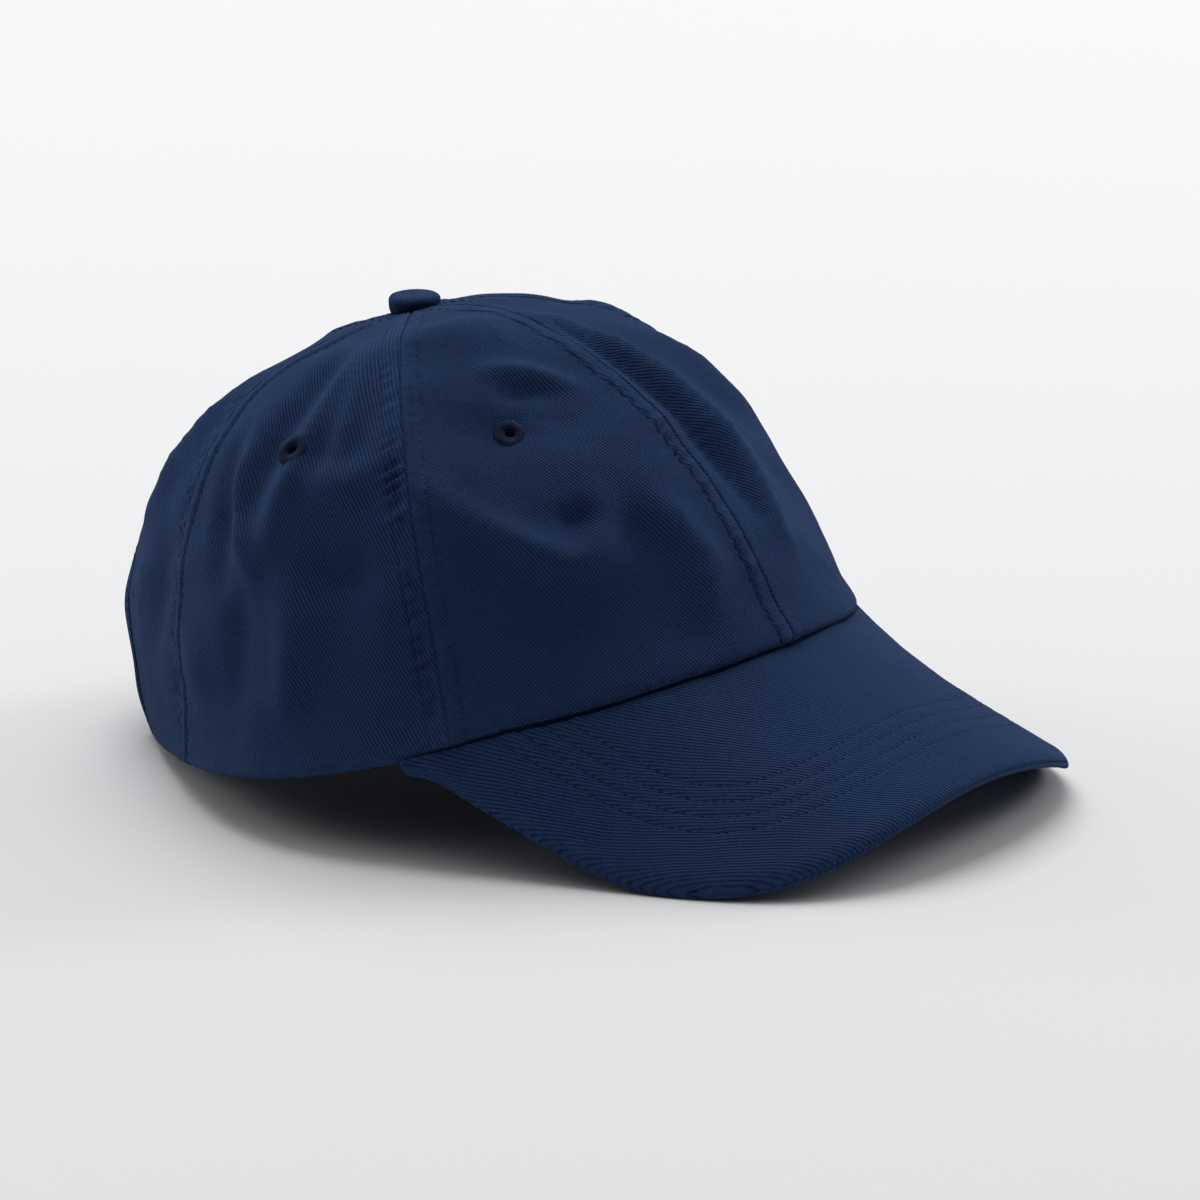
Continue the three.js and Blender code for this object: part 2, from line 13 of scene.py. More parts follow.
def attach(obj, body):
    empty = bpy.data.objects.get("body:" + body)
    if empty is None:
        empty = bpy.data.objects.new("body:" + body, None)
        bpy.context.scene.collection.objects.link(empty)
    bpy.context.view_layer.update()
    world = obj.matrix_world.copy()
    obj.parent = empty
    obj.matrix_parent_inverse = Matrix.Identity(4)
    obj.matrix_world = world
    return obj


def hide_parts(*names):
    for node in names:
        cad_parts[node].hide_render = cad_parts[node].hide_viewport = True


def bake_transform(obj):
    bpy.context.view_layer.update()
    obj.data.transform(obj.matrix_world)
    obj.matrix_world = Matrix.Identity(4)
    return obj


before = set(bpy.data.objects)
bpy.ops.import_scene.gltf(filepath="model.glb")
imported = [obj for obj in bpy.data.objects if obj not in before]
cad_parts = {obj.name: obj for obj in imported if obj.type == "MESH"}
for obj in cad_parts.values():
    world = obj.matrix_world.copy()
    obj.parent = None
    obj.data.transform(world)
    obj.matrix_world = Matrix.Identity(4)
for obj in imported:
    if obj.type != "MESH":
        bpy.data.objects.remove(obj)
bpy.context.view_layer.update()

MM = 0.001
SEED = 7

# ---------- Dimensions shared with the CAD: millimetres and degrees ----------

REST_TILT = 14.2
WEARER_ORIGIN = np.array([0, 26.995, 21.405])  # the wearer's origin in the row frame

HEM_HALF_WIDTH = 93
HEM_FRONT = 98
HEM_REAR = 90.8
HEM_EGG = -0.039
HEM_SQUARE = 0.033
HEM_SAG = 6.1
HEM_ARCH = 2.2  # how far the hem lifts behind the ears
HEM_ARCH_AT = np.radians(107)
HEM_ARCH_WIDTH = 0.5
HEM_FRONT_DROP = 3.2  # how far the front of the hem hangs over the peak
APEX = np.array([0, -0.3, 96.2])

# Handles of each meridian's Bezier curve, as the terms of a + b cos t + c cos 2t
HEM_HANDLE = (34.8, -16.1, -3.4)
HEM_FLARE = (-0.161, -0.161, 0.311)  # outwards lean of the handle at the hem
APEX_HANDLE = (82.1, 4, -8.6)
APEX_DROP = (0.057, -0.033, 0)  # slope of the handle at the apex

CLOTH = 0.9
SEAM_GAP = 0.03
PANEL_TOP = 0.9908  # s where the panels stop short of the button's shank
TAPE_DEPTH = 1.6
TAPE_WIDTH = 13
TAPE_CLOTH = 0.4

SWEATBAND_HEIGHT = 32
SWEATBAND_DEPTH = 2.6
SWEATBAND_REAR_ROOM = 3.6
SWEATBAND_CLOTH = 1
SWEATBAND_END = np.pi - 0.475

EYELET_HEIGHT = 0.625
EYELET_CUT = 2.7  # radius of the hole in the panel

PEAK_END = np.radians(66.9)
PEAK_ROOT_HEIGHT = -9.6
PEAK_SLOPE = 0.595
PEAK_ROLL = 136.7
PEAK_DROOP = 16.1
PEAK_WIDEST = 90
PEAK_FRONT = 149.2
RIM_END_HANDLE = 47.6  # handles of the Bezier curve that draws each half of the rim
RIM_END_LEAN = np.radians(19)
RIM_FRONT_HANDLE = 86.8
PEAK_GAP = 0.5
PEAK_HALF = 2
PEAK_COVER = 0.7
PEAK_END_THINNING = 0.65
PEAK_FLAT_ROLL = 104  # radius of the cylinder that comes nearest to the drooping peak
PEAK_END_RISE = 3.4  # how far the rim is drawn up to the hem at the peak's two ends

BUTTON_HEIGHT = 3.1
BUTTON_SEAT = 0.3
BUTTON_LEAN = np.radians(13)

OPENING_HALF_WIDTH = 38
OPENING_HEIGHT = 49
OPENING_STRAIGHT = 6  # height below which the sides of the opening are upright
STRAP_AXIS_Y = 33
STRAP_RADIUS = 60.8
STRAP_BOTTOM = 5
STRAP_WIDTH = 20
STRAP_CLOTH = 1
STRAP_REACH = (-50, 52)
TAB_REACH = (24.4, 46)
TAB_OUT = 1.1
TAB_CLOTH = 0.7

# ---------- Sewing: millimetres ----------

SEAM_ROW_LEFT = 5.0  # topstitching before a seam, going towards the wearer's left
SEAM_ROW_RIGHT = 4.2  # and after it, on the folded allowance
PUCKER_PITCH = 4.1
HEM_ROLL = 1.2  # radius of the turned hem
PEAK_ROWS = (15.5, 20.2, 24.9, 29.6)  # stitch rows of the peak, from its rim
CROWN_STITCH = (2.7, 2.1)  # pitch and length of one stitch
PEAK_STITCH = (2.3, 1.7)


def smoothstep(x, low, high):
    w = np.clip((x - low) / (high - low), 0, 1)
    return w * w * (3 - 2 * w)


def unit(v):
    return v / np.linalg.norm(v, axis=-1, keepdims=True)


def bell(x, width):
    return np.exp(-((x / width) ** 2))


def lengths_along(line):
    return np.concatenate([[0], np.cumsum(np.linalg.norm(np.diff(line, axis=0), axis=1))])


def to_row(points):
    """Wearer's frame in mm to the row frame in metres."""
    c, s = np.cos(np.radians(REST_TILT)), np.sin(np.radians(REST_TILT))
    x, y, z = np.moveaxis(np.asarray(points, float), -1, 0)
    return (np.stack([x, y * c + z * s, z * c - y * s], -1) + WEARER_ORIGIN) * MM


# ---------- Shape of the crown ----------


def hem_plan(t):
    reach = np.where(np.cos(t) > 0, HEM_FRONT, HEM_REAR)
    swell = 1 + HEM_EGG * np.cos(3 * t) + HEM_SQUARE * np.cos(4 * t)
    return np.stack([HEM_HALF_WIDTH * np.sin(t) * swell, -reach * np.cos(t) * swell], -1)


def hem_height(t):
    round_head = np.arccos(np.cos(t))
    arch = HEM_ARCH * bell(round_head - HEM_ARCH_AT, HEM_ARCH_WIDTH)
    return arch - HEM_SAG * np.sin(t) ** 2 - HEM_FRONT_DROP * smoothstep(np.cos(t), 0.3, 0.9)


def round_the_head(t, terms):
    return (terms[0] + terms[1] * np.cos(t) + terms[2] * np.cos(2 * t))[..., None]


def crown_surface(t, s):
    """The smooth outer face: a cubic Bezier meridian from the hem to the apex."""
    t, s = np.broadcast_arrays(np.asarray(t, float), np.asarray(s, float))
    rise, flare = round_the_head(t, HEM_HANDLE), round_the_head(t, HEM_FLARE)
    top_reach, top_drop = round_the_head(t, APEX_HANDLE), round_the_head(t, APEX_DROP)
    plan = hem_plan(t)
    one = np.ones(t.shape + (1,))
    hem = np.concatenate([plan, hem_height(t)[..., None]], -1)
    lower = hem + rise * np.concatenate([unit(plan) * flare, one], -1)
    away = unit(plan - APEX[:2])
    upper = APEX + top_reach * np.concatenate([away, -top_drop * one], -1)
    s = s[..., None]
    return (1 - s) ** 3 * hem + 3 * (1 - s) ** 2 * s * lower + 3 * (1 - s) * s**2 * upper + s**3 * APEX


STEP = 1e-3


def crown_normal(t, s):
    inside = np.clip(s, STEP, 1 - STEP)
    along = crown_surface(t + STEP, inside) - crown_surface(t - STEP, inside)
    rise = crown_surface(t, inside + STEP) - crown_surface(t, inside - STEP)
    return unit(np.cross(along, rise))


def round_rate(t, s):
    """Millimetres round the head per radian of t."""
    return np.linalg.norm(crown_surface(t + STEP, s) - crown_surface(t - STEP, s), axis=-1) / (2 * STEP)


TABLE_T = np.radians(np.arange(0, 361, 3))
TABLE_S = np.linspace(0, 1, 121)
_meridians = crown_surface(TABLE_T[:, None], TABLE_S)
_steps = np.linalg.norm(np.diff(_meridians, axis=1), axis=-1)
TABLE_UP = np.concatenate([np.zeros((len(TABLE_T), 1)), np.cumsum(_steps, axis=1)], 1)


def up_at(t, s):
    """Length along the meridian from the hem to s."""
    t, s = np.broadcast_arrays(np.asarray(t, float) % (2 * np.pi), np.asarray(s, float))
    i = np.clip(t / TABLE_T[1], 0, len(TABLE_T) - 1.001)
    j = np.clip(s * (len(TABLE_S) - 1), 0, len(TABLE_S) - 1.001)
    i0, j0 = i.astype(int), j.astype(int)
    a, b = i - i0, j - j0
    low = TABLE_UP[i0, j0] * (1 - b) + TABLE_UP[i0, j0 + 1] * b
    high = TABLE_UP[i0 + 1, j0] * (1 - b) + TABLE_UP[i0 + 1, j0 + 1] * b
    return low * (1 - a) + high * a


def s_at(t, up):
    """The s at a length along the meridian, by bisection."""
    t, up = np.broadcast_arrays(np.asarray(t, float), np.asarray(up, float))
    low, high = np.zeros(t.shape), np.ones(t.shape)
    for _ in range(24):
        middle = (low + high) / 2
        short = up_at(t, middle) < up
        low, high = np.where(short, middle, low), np.where(short, high, middle)
    return (low + high) / 2


def find_on_rear(x, z):
    """(t, s) of the crown at a given x and z on its back, by Newton steps."""
    t = np.pi - np.asarray(x, float) / HEM_REAR
    s = np.full(t.shape, 0.05)
    for _ in range(20):
        p = crown_surface(t, s)
        dt = (crown_surface(t + STEP, s) - p) / STEP
        ds = (crown_surface(t, s + STEP) - p) / STEP
        det = dt[..., 0] * ds[..., 2] - ds[..., 0] * dt[..., 2]
        ex, ez = x - p[..., 0], z - p[..., 2]
        t = t + (ex * ds[..., 2] - ds[..., 0] * ez) / det
        s = s + (dt[..., 0] * ez - ex * dt[..., 2]) / det
    return t, s


# ---------- Panels: the first seam of each and its eyelet, in degrees ----------

PANELS = [
    ("front_left_panel", 0, 24.5),
    ("side_left_panel", 60, 90),
    ("rear_left_panel", 120, 150),
    ("rear_right_panel", 180, 210),
    ("side_right_panel", 240, 275.5),
    ("front_right_panel", 300, 324),
]


# ---------- How the cloth lies: folds, seams and hems, all in mm along the outward normal ----------


def ripple(points, wavelength, seed, waves=14):
    """Smooth noise of about unit size in space, from a few seeded plane waves."""
    rng = np.random.default_rng(seed)
    directions = unit(rng.normal(size=(waves, 3)))
    lengths = wavelength * rng.uniform(0.7, 1.5, waves)
    phases = rng.uniform(0, 2 * np.pi, waves)
    total = 0
    for direction, length, phase in zip(directions, lengths, phases):
        total = total + np.sin(2 * np.pi * (points @ direction) / length + phase)
    return total / np.sqrt(waves / 2) / 1.4


def wander(x, wavelength, seed):
    """The same in one dimension."""
    x = np.asarray(x, float)
    return ripple(np.stack([x, 0 * x, 0 * x], -1), wavelength * 0.6, seed, 8)


# Each fold is a ridge (height > 0) or a hollow along a line of (t degrees, up mm) points.
FOLDS = [
    # front right: a slack swag below the eyelet, hanging over the hollow above the hem
    (((-55, 64), (-47, 53), (-40, 44), (-34, 39), (-29, 42), (-25, 52)), 5.5, 1.6),
    (((-50, 88), (-40, 80), (-28, 80), (-18, 86)), 11, -1.3),
    (((-52, 116), (-38, 117), (-22, 117)), 9, 1.5),
    (((-48, 26), (-34, 22), (-22, 22)), 12, -1.0),
    (((-33, 51), (-29, 50)), 3.5, -0.8),
    (((-14, 46), (-11, 30), (-14, 19)), 6, 1.3),
    (((-20, 34), (-22, 50)), 8, -1.0),
    (((-36, 100), (-24, 96), (-14, 88)), 3.5, 0.8),
    (((-34, 92), (-22, 89)), 3.5, -0.7),
    (((-50, 70), (-52, 50), (-50, 34)), 5, -0.7),
    # front left: a long ridge beside the front seam
    (((11, 112), (13, 84), (14, 54), (12, 28)), 5.5, 1.5),
    (((5, 108), (6, 74), (7, 38)), 3.5, -1.0),
    (((28, 100), (32, 60), (30, 30)), 12, -1.2),
    (((45, 90), (48, 50)), 10, 1.0),
    # side right: upright folds that fan out from the apex
    (((-78, 122), (-79, 100), (-84, 78), (-88, 60)), 4.5, 1.2),
    (((-87, 114), (-91, 92), (-94, 68)), 5.5, -1.5),
    (((-100, 80), (-96, 64), (-92, 50)), 3.5, 1.1),
    (((-84, 48), (-84, 32), (-86, 18)), 7, 1.4),
    (((-81, 76), (-74, 72), (-68, 75)), 6, 1.1),
    (((-80, 50), (-74, 48), (-70, 52)), 7, -1.4),
    (((-107, 84), (-104, 66), (-101, 48)), 5, -1.4),
    (((-71, 118), (-72, 96), (-75, 76)), 3.5, 0.9),
    (((-96, 42), (-97, 24)), 6, -0.9),
    (((-114, 34), (-108, 16)), 7, 0.9),
    # the sides and back that the front view doesn't show
    (((66, 104), (74, 84), (80, 60)), 6, 1.2),
    (((84, 96), (90, 70), (92, 44)), 6, -1.3),
    (((98, 62), (100, 40), (104, 22)), 7, 1.3),
    (((110, 100), (108, 74)), 5, -0.9),
    (((130, 96), (136, 76), (146, 62)), 7, 1.1),
    (((150, 110), (156, 88)), 6, -1.0),
    (((-132, 104), (-138, 80), (-148, 62)), 7, 1.2),
    (((-154, 104), (-160, 80)), 7, -1.1),
    (((-128, 54), (-134, 30)), 7, -0.9),
]


def on_curve(knots, count):
    """Points along a Catmull-Rom curve through the knots."""
    knots = np.asarray(knots, float)
    g = np.linspace(0, len(knots) - 1, count)
    i = np.minimum(g.astype(int), len(knots) - 2)
    w = (g - i)[:, None]
    before, start = knots[np.maximum(i - 1, 0)], knots[i]
    end, after = knots[i + 1], knots[np.minimum(i + 2, len(knots) - 1)]
    v0, v1 = (end - before) / 2, (after - start) / 2
    cubic = 2 * (start - end) + v0 + v1
    square = 3 * (end - start) - 2 * v0 - v1
    return ((cubic * w + square) * w + v0) * w + start


def fold_lines():
    lines = []
    for knots, width, height in FOLDS:
        line = on_curve(knots, 24)
        t = np.radians(line[:, 0])
        fade = np.sin(np.linspace(0.08, 0.92, len(line)) * np.pi) ** 0.7
        lines.append((crown_surface(t, s_at(t, line[:, 1])), fade, width, height))
    return lines


FOLD_LINES = fold_lines()
FOLD_DEPTH = 2.6
SLACK = ((0.6, 38), (0.26, 15))  # height and wavelength of the random swells of the crown
CREASE = (0.3, 13, 30)  # height and wavelength of the fine wrinkles, and of the patches they come in
SEAM_GROOVE = (0.4, 0.4)  # depth and width
ALLOWANCE_RISE = (0.55, 0.6)  # of the folded cloth on the left and on the right of a seam
ROW_GROOVE = (0.55, 0.5)  # depth under the topstitching on either side, and
ROW_GROOVE_WIDTH = 0.5
PUCKER_RISE = (0.5, 0.36)
HEM_BULGE = (0.35, 1.25)  # of a free hem, and what standing on the peak adds
HEM_OVERHANG = 0.8  # how much larger the hem's radius grows over the peak
HEM_PRESS = 0.5  # how far the left half of the hem sinks into the peak
FREE_HEM = 0.25  # height of the free hem's edge
EYELET_DENT = 0.55
EYELET_DENT_WIDTH = 5.5
BUTTON_DENT = 0.3
BUTTON_DENT_WIDTH = 6


def crown_folds(points, up):
    """Slack folds and creases that every layer of the crown follows."""
    shape = points.shape[:-1]
    flat = points.reshape(-1, 3)
    height = sum(rise * ripple(flat, length, SEED + k) for k, (rise, length) in enumerate(SLACK))
    for line, fade, width, rise in FOLD_LINES:
        centre = line.mean(0)
        reach = np.linalg.norm(line - centre, axis=-1).max() + 2.6 * width
        near = np.linalg.norm(flat - centre, axis=-1) < reach
        gaps = np.linalg.norm(flat[near, None] - line[None], axis=-1)
        height[near] += FOLD_DEPTH * rise * (bell(gaps, width) * fade).max(1)
    apex_fade = smoothstep(np.linalg.norm(points - APEX, axis=-1), 7, 26)
    return height.reshape(shape) * apex_fade * (0.25 + 0.75 * smoothstep(up, 2, 22)) + button_dent(points)


def creases(points, seed):
    """Fine, sharp-crested wrinkles of washed cotton."""
    rise, pitch, patch = CREASE
    sharp = 1 - np.abs(ripple(points, pitch, seed + 2, 10))
    soft = ripple(points, patch, seed + 3, 8)
    return rise * np.clip(sharp, 0, 1) ** 2 * smoothstep(soft, -0.3, 1.0)


def peak_top_at_hem(t):
    """How far the peak's upper face stands above the crown's hem where they meet."""
    t = (t + np.pi) % (2 * np.pi) - np.pi
    u = (1 - np.clip(t / PEAK_END, -1, 1)) / 2
    seam = hem_plan(np.clip(t, -PEAK_END, PEAK_END))
    beyond = smoothstep(np.abs(t), PEAK_END - 0.08, PEAK_END + 0.01)
    top = peak_lift(u, PEAK_HALF) * peak_steepness(seam[..., 0], seam[..., 1]) - HEM_PRESS * pressed(t)
    return top * (1 - beyond) + FREE_HEM * beyond


def pressed(t):
    """1 where the hem is pressed down on the left half of the peak."""
    return smoothstep((t + np.pi) % (2 * np.pi) - np.pi, 0.1, 0.5)


def over_peak(t):
    """1 where the crown stands on the peak, 0 where its hem is free."""
    t = np.abs((t + np.pi) % (2 * np.pi) - np.pi)
    return 1 - smoothstep(t, PEAK_END - 0.1, PEAK_END)


def pucker(up, seed):
    """Ladder-like gathers along a row of stitches."""
    phase = 2 * np.pi * (up / PUCKER_PITCH + 0.3 * wander(up, 14, seed))
    return np.sin(phase) * (0.75 + 0.45 * wander(up, 18, seed + 1))


def seam_relief(t, s, up):
    """The groove, the folded allowances, their topstitching and the gathers beside each seam."""
    turn = np.radians(60)
    index = np.floor(t / turn)
    rate = round_rate(t, s)
    after = (t - index * turn) * rate
    before = ((index + 1) * turn - t) * rate
    narrow = smoothstep(turn * rate, 8, 30)
    wide = smoothstep(turn * rate, 30, 78) * smoothstep(up, 3, 14)
    depth, width = SEAM_GROOVE
    height = -depth * bell(after, width) - depth * bell(before, width)
    height += narrow * ALLOWANCE_RISE[1] * (1 - smoothstep(after, SEAM_ROW_RIGHT - 0.4, SEAM_ROW_RIGHT + 0.9))
    height += narrow * ALLOWANCE_RISE[0] * (1 - smoothstep(before, SEAM_ROW_LEFT - 0.3, SEAM_ROW_LEFT + 1.4))
    height -= narrow * ROW_GROOVE[1] * bell(after - SEAM_ROW_RIGHT, ROW_GROOVE_WIDTH)
    height -= narrow * ROW_GROOVE[0] * bell(before - SEAM_ROW_LEFT, ROW_GROOVE_WIDTH)
    for number in range(-4, 8):
        seed = SEED + 20 + number % 6
        right = np.where(index == number, after, 1e3)
        left = np.where(index == number - 1, before, 1e3)
        if not ((right < 20) | (left < 20)).any():
            continue
        past_left = bell(np.maximum(left - SEAM_ROW_LEFT, 0), 3.2) * (left > 2.9)
        past_right = bell(np.maximum(right - SEAM_ROW_RIGHT, 0), 3) * (right > 2.3)
        inner = bell(left - 2.9, 2.1) + 0.45 * past_left
        outer = 0.4 * bell(right - 2.3, 1.2) + 0.3 * past_right
        height += wide * PUCKER_RISE[0] * inner * pucker(up + 0.35 * np.minimum(left, 20), seed)
        height += wide * PUCKER_RISE[1] * outer * pucker(up - 0.3 * np.minimum(right, 20), seed + 50)
    return height


def hem_radius(t):
    """Radius of the hem's lower edge, which overhangs the peak but lies tight on its left half."""
    over = HEM_OVERHANG * over_peak(t)
    return HEM_ROLL * (1 + over) * (1 - over * pressed(t))


def hem_relief(t, up):
    """The turned hem: a roll that overhangs the peak, or closes the free edge."""
    above = up - peak_top_at_hem(t)
    radius = hem_radius(t)
    inside = np.clip(radius - above, 0, radius)
    roll = radius - np.sqrt(radius**2 - inside**2)
    free, standing = HEM_BULGE
    fading = bell(np.maximum(above - 1.5, 0), 6) * smoothstep(above, -1, 1.5)
    return (free + standing * over_peak(t)) * fading - roll


def eyelet_relief(points):
    """The cloth sinks a little round each eyelet."""
    height = np.zeros(points.shape[:-1])
    for _, _, turn in PANELS:
        centre = crown_surface(np.radians(turn), EYELET_HEIGHT)
        distance = np.linalg.norm(points - centre, axis=-1)
        height -= EYELET_DENT * bell(distance, EYELET_DENT_WIDTH)
    return height


def button_dent(points):
    """The cloth is drawn in under the button."""
    return -BUTTON_DENT * bell(np.linalg.norm(points - APEX, axis=-1), BUTTON_DENT_WIDTH)


def crown_outside(t, s):
    """The cloth's outer face, with everything sewn and creased into it."""
    up = up_at(t, s)
    smooth = crown_surface(t, s)
    height = crown_folds(smooth, up) + creases(smooth, SEED) + seam_relief(t, s, up)
    height = height + hem_relief(t, up) + eyelet_relief(smooth)
    return smooth + crown_normal(t, s) * height[..., None]


def crown_layer(t, s, depth):
    """A layer inside the crown that follows its folds but not its stitching."""
    smooth = crown_surface(t, s)
    height = crown_folds(smooth, up_at(t, s)) - depth
    return smooth + crown_normal(t, s) * height[..., None]


# ---------- Shape of the peak ----------


def peak_droop(y):
    return PEAK_DROOP / PEAK_WIDEST**2 * smoothstep(-y, 40, 100)


def peak_height(x, y):
    rolled = PEAK_ROLL - np.sqrt(PEAK_ROLL**2 - x**2) + peak_droop(y) * x**2
    return PEAK_ROOT_HEIGHT + PEAK_SLOPE * (y + HEM_FRONT) - rolled


def peak_steepness(x, y):
    sideways = x / np.sqrt(PEAK_ROLL**2 - x**2) + 2 * peak_droop(y) * x
    return np.sqrt(1 + PEAK_SLOPE**2 + sideways**2)


def peak_lift(u, lift):
    return lift * (1 - PEAK_END_THINNING * (1 - smoothstep(np.minimum(u, 1 - u), 0, 0.14)))


def half_rim():
    """The rim's plan outline from the wearer's left end to the middle, with its length so far."""
    end = hem_plan(PEAK_END) + (2, -1)
    lower = end - RIM_END_HANDLE * np.array([np.sin(RIM_END_LEAN), np.cos(RIM_END_LEAN)])
    upper, front = np.array([RIM_FRONT_HANDLE, -PEAK_FRONT]), np.array([0, -PEAK_FRONT])
    s = np.linspace(0, 1, 800)[:, None]
    outline = (1 - s) ** 3 * end + 3 * (1 - s) ** 2 * s * lower + 3 * (1 - s) * s**2 * upper + s**3 * front
    return outline, lengths_along(outline)


def peak_rim(u):
    """The rim by share of its length, from the wearer's left end (u = 0) to the right one."""
    outline, travelled = HALF_RIM
    reach = (1 - np.abs(2 * u - 1)) * travelled[-1]
    x, y = np.interp(reach, travelled, outline[:, 0]), np.interp(reach, travelled, outline[:, 1])
    return np.stack([np.where(u < 0.5, x, -x), y], -1)


def peak_point(u, v, lift, gap=PEAK_GAP):
    """v runs from the crown to the rim, lift is measured from the middle of the peak's thickness."""
    u, v, lift = np.broadcast_arrays(u, v, lift)
    t = PEAK_END * (1 - 2 * u)
    seam = hem_plan(t)
    root = seam + unit(seam) * gap
    plan = root + (peak_rim(u) - root) * v[..., None]
    meet_hem = (hem_height(t) - peak_height(seam[..., 0], seam[..., 1])) * (1 - v) ** 2
    drawn_up = PEAK_END_RISE * (1 - smoothstep(np.minimum(u, 1 - u), 0, 0.06)) * v**2
    x, y = plan[..., 0], plan[..., 1]
    z = peak_height(x, y) + meet_hem + drawn_up + peak_lift(u, lift) * peak_steepness(x, y)
    return np.stack([x, y, z], -1)


HALF_RIM = half_rim()
RIM_STEPS = 600
RIM_LINE = peak_point(np.linspace(0, 1, RIM_STEPS + 1), np.ones(RIM_STEPS + 1), np.zeros(RIM_STEPS + 1))
RIM_REACH = 80  # how many steps along the rim the nearest point can lie from a point's own column


def rim_distance(u, points):
    """Distance from the rim of points of the peak, each in the column u."""
    own = np.rint(u * RIM_STEPS).astype(int)
    nearest = np.full(own.shape, 1e3)
    for shift in range(-RIM_REACH, RIM_REACH):
        k = np.clip(own + shift, 0, RIM_STEPS - 1)
        start, step = RIM_LINE[k], RIM_LINE[k + 1] - RIM_LINE[k]
        share = np.clip(((points - start) * step).sum(-1) / (step**2).sum(-1), 0, 1)
        nearest = np.minimum(nearest, np.linalg.norm(points - start - step * share[..., None], axis=-1))
    return nearest


def peak_flat(points):
    """Where a point of the peak lies on the flat cloth: across and down the slope, in mm."""
    x, y = points[..., 0], points[..., 1]
    steep = np.sqrt(1 + PEAK_SLOPE**2)
    steps = np.linspace(0, PEAK_FLAT_ROLL - 1, 400)
    stretch = np.sqrt(1 + (steps / steep) ** 2 / (PEAK_FLAT_ROLL**2 - steps**2))
    arc = np.concatenate([[0], np.cumsum((stretch[1:] + stretch[:-1]) / 2 * np.diff(steps))])
    roll = PEAK_FLAT_ROLL - np.sqrt(PEAK_FLAT_ROLL**2 - x**2)
    return np.sign(x) * np.interp(np.abs(x), steps, arc), roll * PEAK_SLOPE / steep - y * steep


PEAK_GROOVE = (0.28, 0.7)  # depth and width under a row of stitching


def peak_row_relief(distance):
    """Grooves pulled in by the rows of stitching, and the soft swell between them."""
    depth, width = PEAK_GROOVE
    height = np.zeros(distance.shape)
    for row in PEAK_ROWS:
        height -= depth * bell(distance - row, width)
    first, last = PEAK_ROWS[0], PEAK_ROWS[-1]
    between = smoothstep(distance, first - 4, first) * (1 - smoothstep(distance, last, last + 4))
    return height + 0.1 * between


def peak_swell(middle):
    """Random unevenness of the cloth over the board."""
    return 0.18 * ripple(middle, 34, SEED + 11) + 0.07 * ripple(middle, 11, SEED + 12)


# ---------- Meshes ----------


def grid_faces(rows, columns, keep=None):
    """Quads of a grid of vertices, rows by columns, facing the side where columns x rows points."""
    index = np.arange(rows * columns).reshape(rows, columns)
    quads = np.stack([index[:-1, :-1], index[:-1, 1:], index[1:, 1:], index[1:, :-1]], -1)
    return quads.reshape(-1, 4) if keep is None else quads[keep]


def shell_mesh(outer, inner, keep=None):
    """Vertices and faces of a closed sheet between two grids of points, with some cells left out."""
    rows, columns = outer.shape[:2]
    count = rows * columns
    face = grid_faces(rows, columns, keep)
    back = face[:, ::-1] + count
    edges = np.concatenate([face[:, [k, (k + 1) % 4]] for k in range(4)])
    known = set(map(tuple, edges.tolist()))
    rim = np.array([e for e in known if (e[1], e[0]) not in known])
    rim = rim[np.lexsort(rim.T)]
    walls = np.stack([rim[:, 1], rim[:, 0], rim[:, 0] + count, rim[:, 1] + count], -1)
    vertices = np.concatenate([outer.reshape(-1, 3), inner.reshape(-1, 3)])
    return vertices, np.concatenate([face, back, walls])


def cap(ring, forward):
    """Quads that close the end of a tube."""
    quads = [[ring[k], ring[k + 1], ring[-2 - k], ring[-1 - k]] for k in range(len(ring) // 2 - 1)]
    return np.array(quads if forward else [quad[::-1] for quad in quads])


def make_piece(name, vertices, faces, weave=None, wear=None, in_row=True):
    """A mesh object.

    weave holds the outer face's places on the flat cloth in mm (along, across the wales), and wear how rubbed
    it is. The inner face takes the same values.
    """
    count = len(vertices)
    weave = np.zeros((count, 2)) if weave is None else np.reshape(weave, (-1, 2))
    wear = np.zeros(count) if wear is None else np.ravel(wear)
    weave = np.tile(weave, (count // len(weave), 1))
    wear = np.tile(wear, count // len(wear))
    used, faces = np.unique(np.asarray(faces), return_inverse=True)
    faces = faces.reshape(-1, 4)
    vertices = np.asarray(vertices)[used]
    mesh = bpy.data.meshes.new(name)
    mesh.from_pydata((to_row(vertices) if in_row else vertices).tolist(), [], faces.tolist())
    mesh.shade_smooth()
    loops = np.zeros(len(mesh.loops), np.int32)
    mesh.loops.foreach_get("vertex_index", loops)
    layer = mesh.uv_layers.new(name="weave")
    layer.data.foreach_set("uv", weave[used][loops].astype(np.float32).ravel())
    mesh.attributes.new("wear", "FLOAT", "POINT").data.foreach_set("value", wear[used].astype(np.float32))
    piece = bpy.data.objects.new(name, mesh)
    bpy.context.scene.collection.objects.link(piece)
    return piece


def turned_weave(x, y, degrees):
    """Flat cloth coordinates turned so that the first runs along the wales."""
    a = np.radians(degrees)
    return np.stack([x * np.cos(a) + y * np.sin(a), y * np.cos(a) - x * np.sin(a)], -1)


STITCH_RINGS = np.array([0, 0.1, 0.3, 0.5, 0.7, 0.9, 1])
STITCH_SIDES = 6


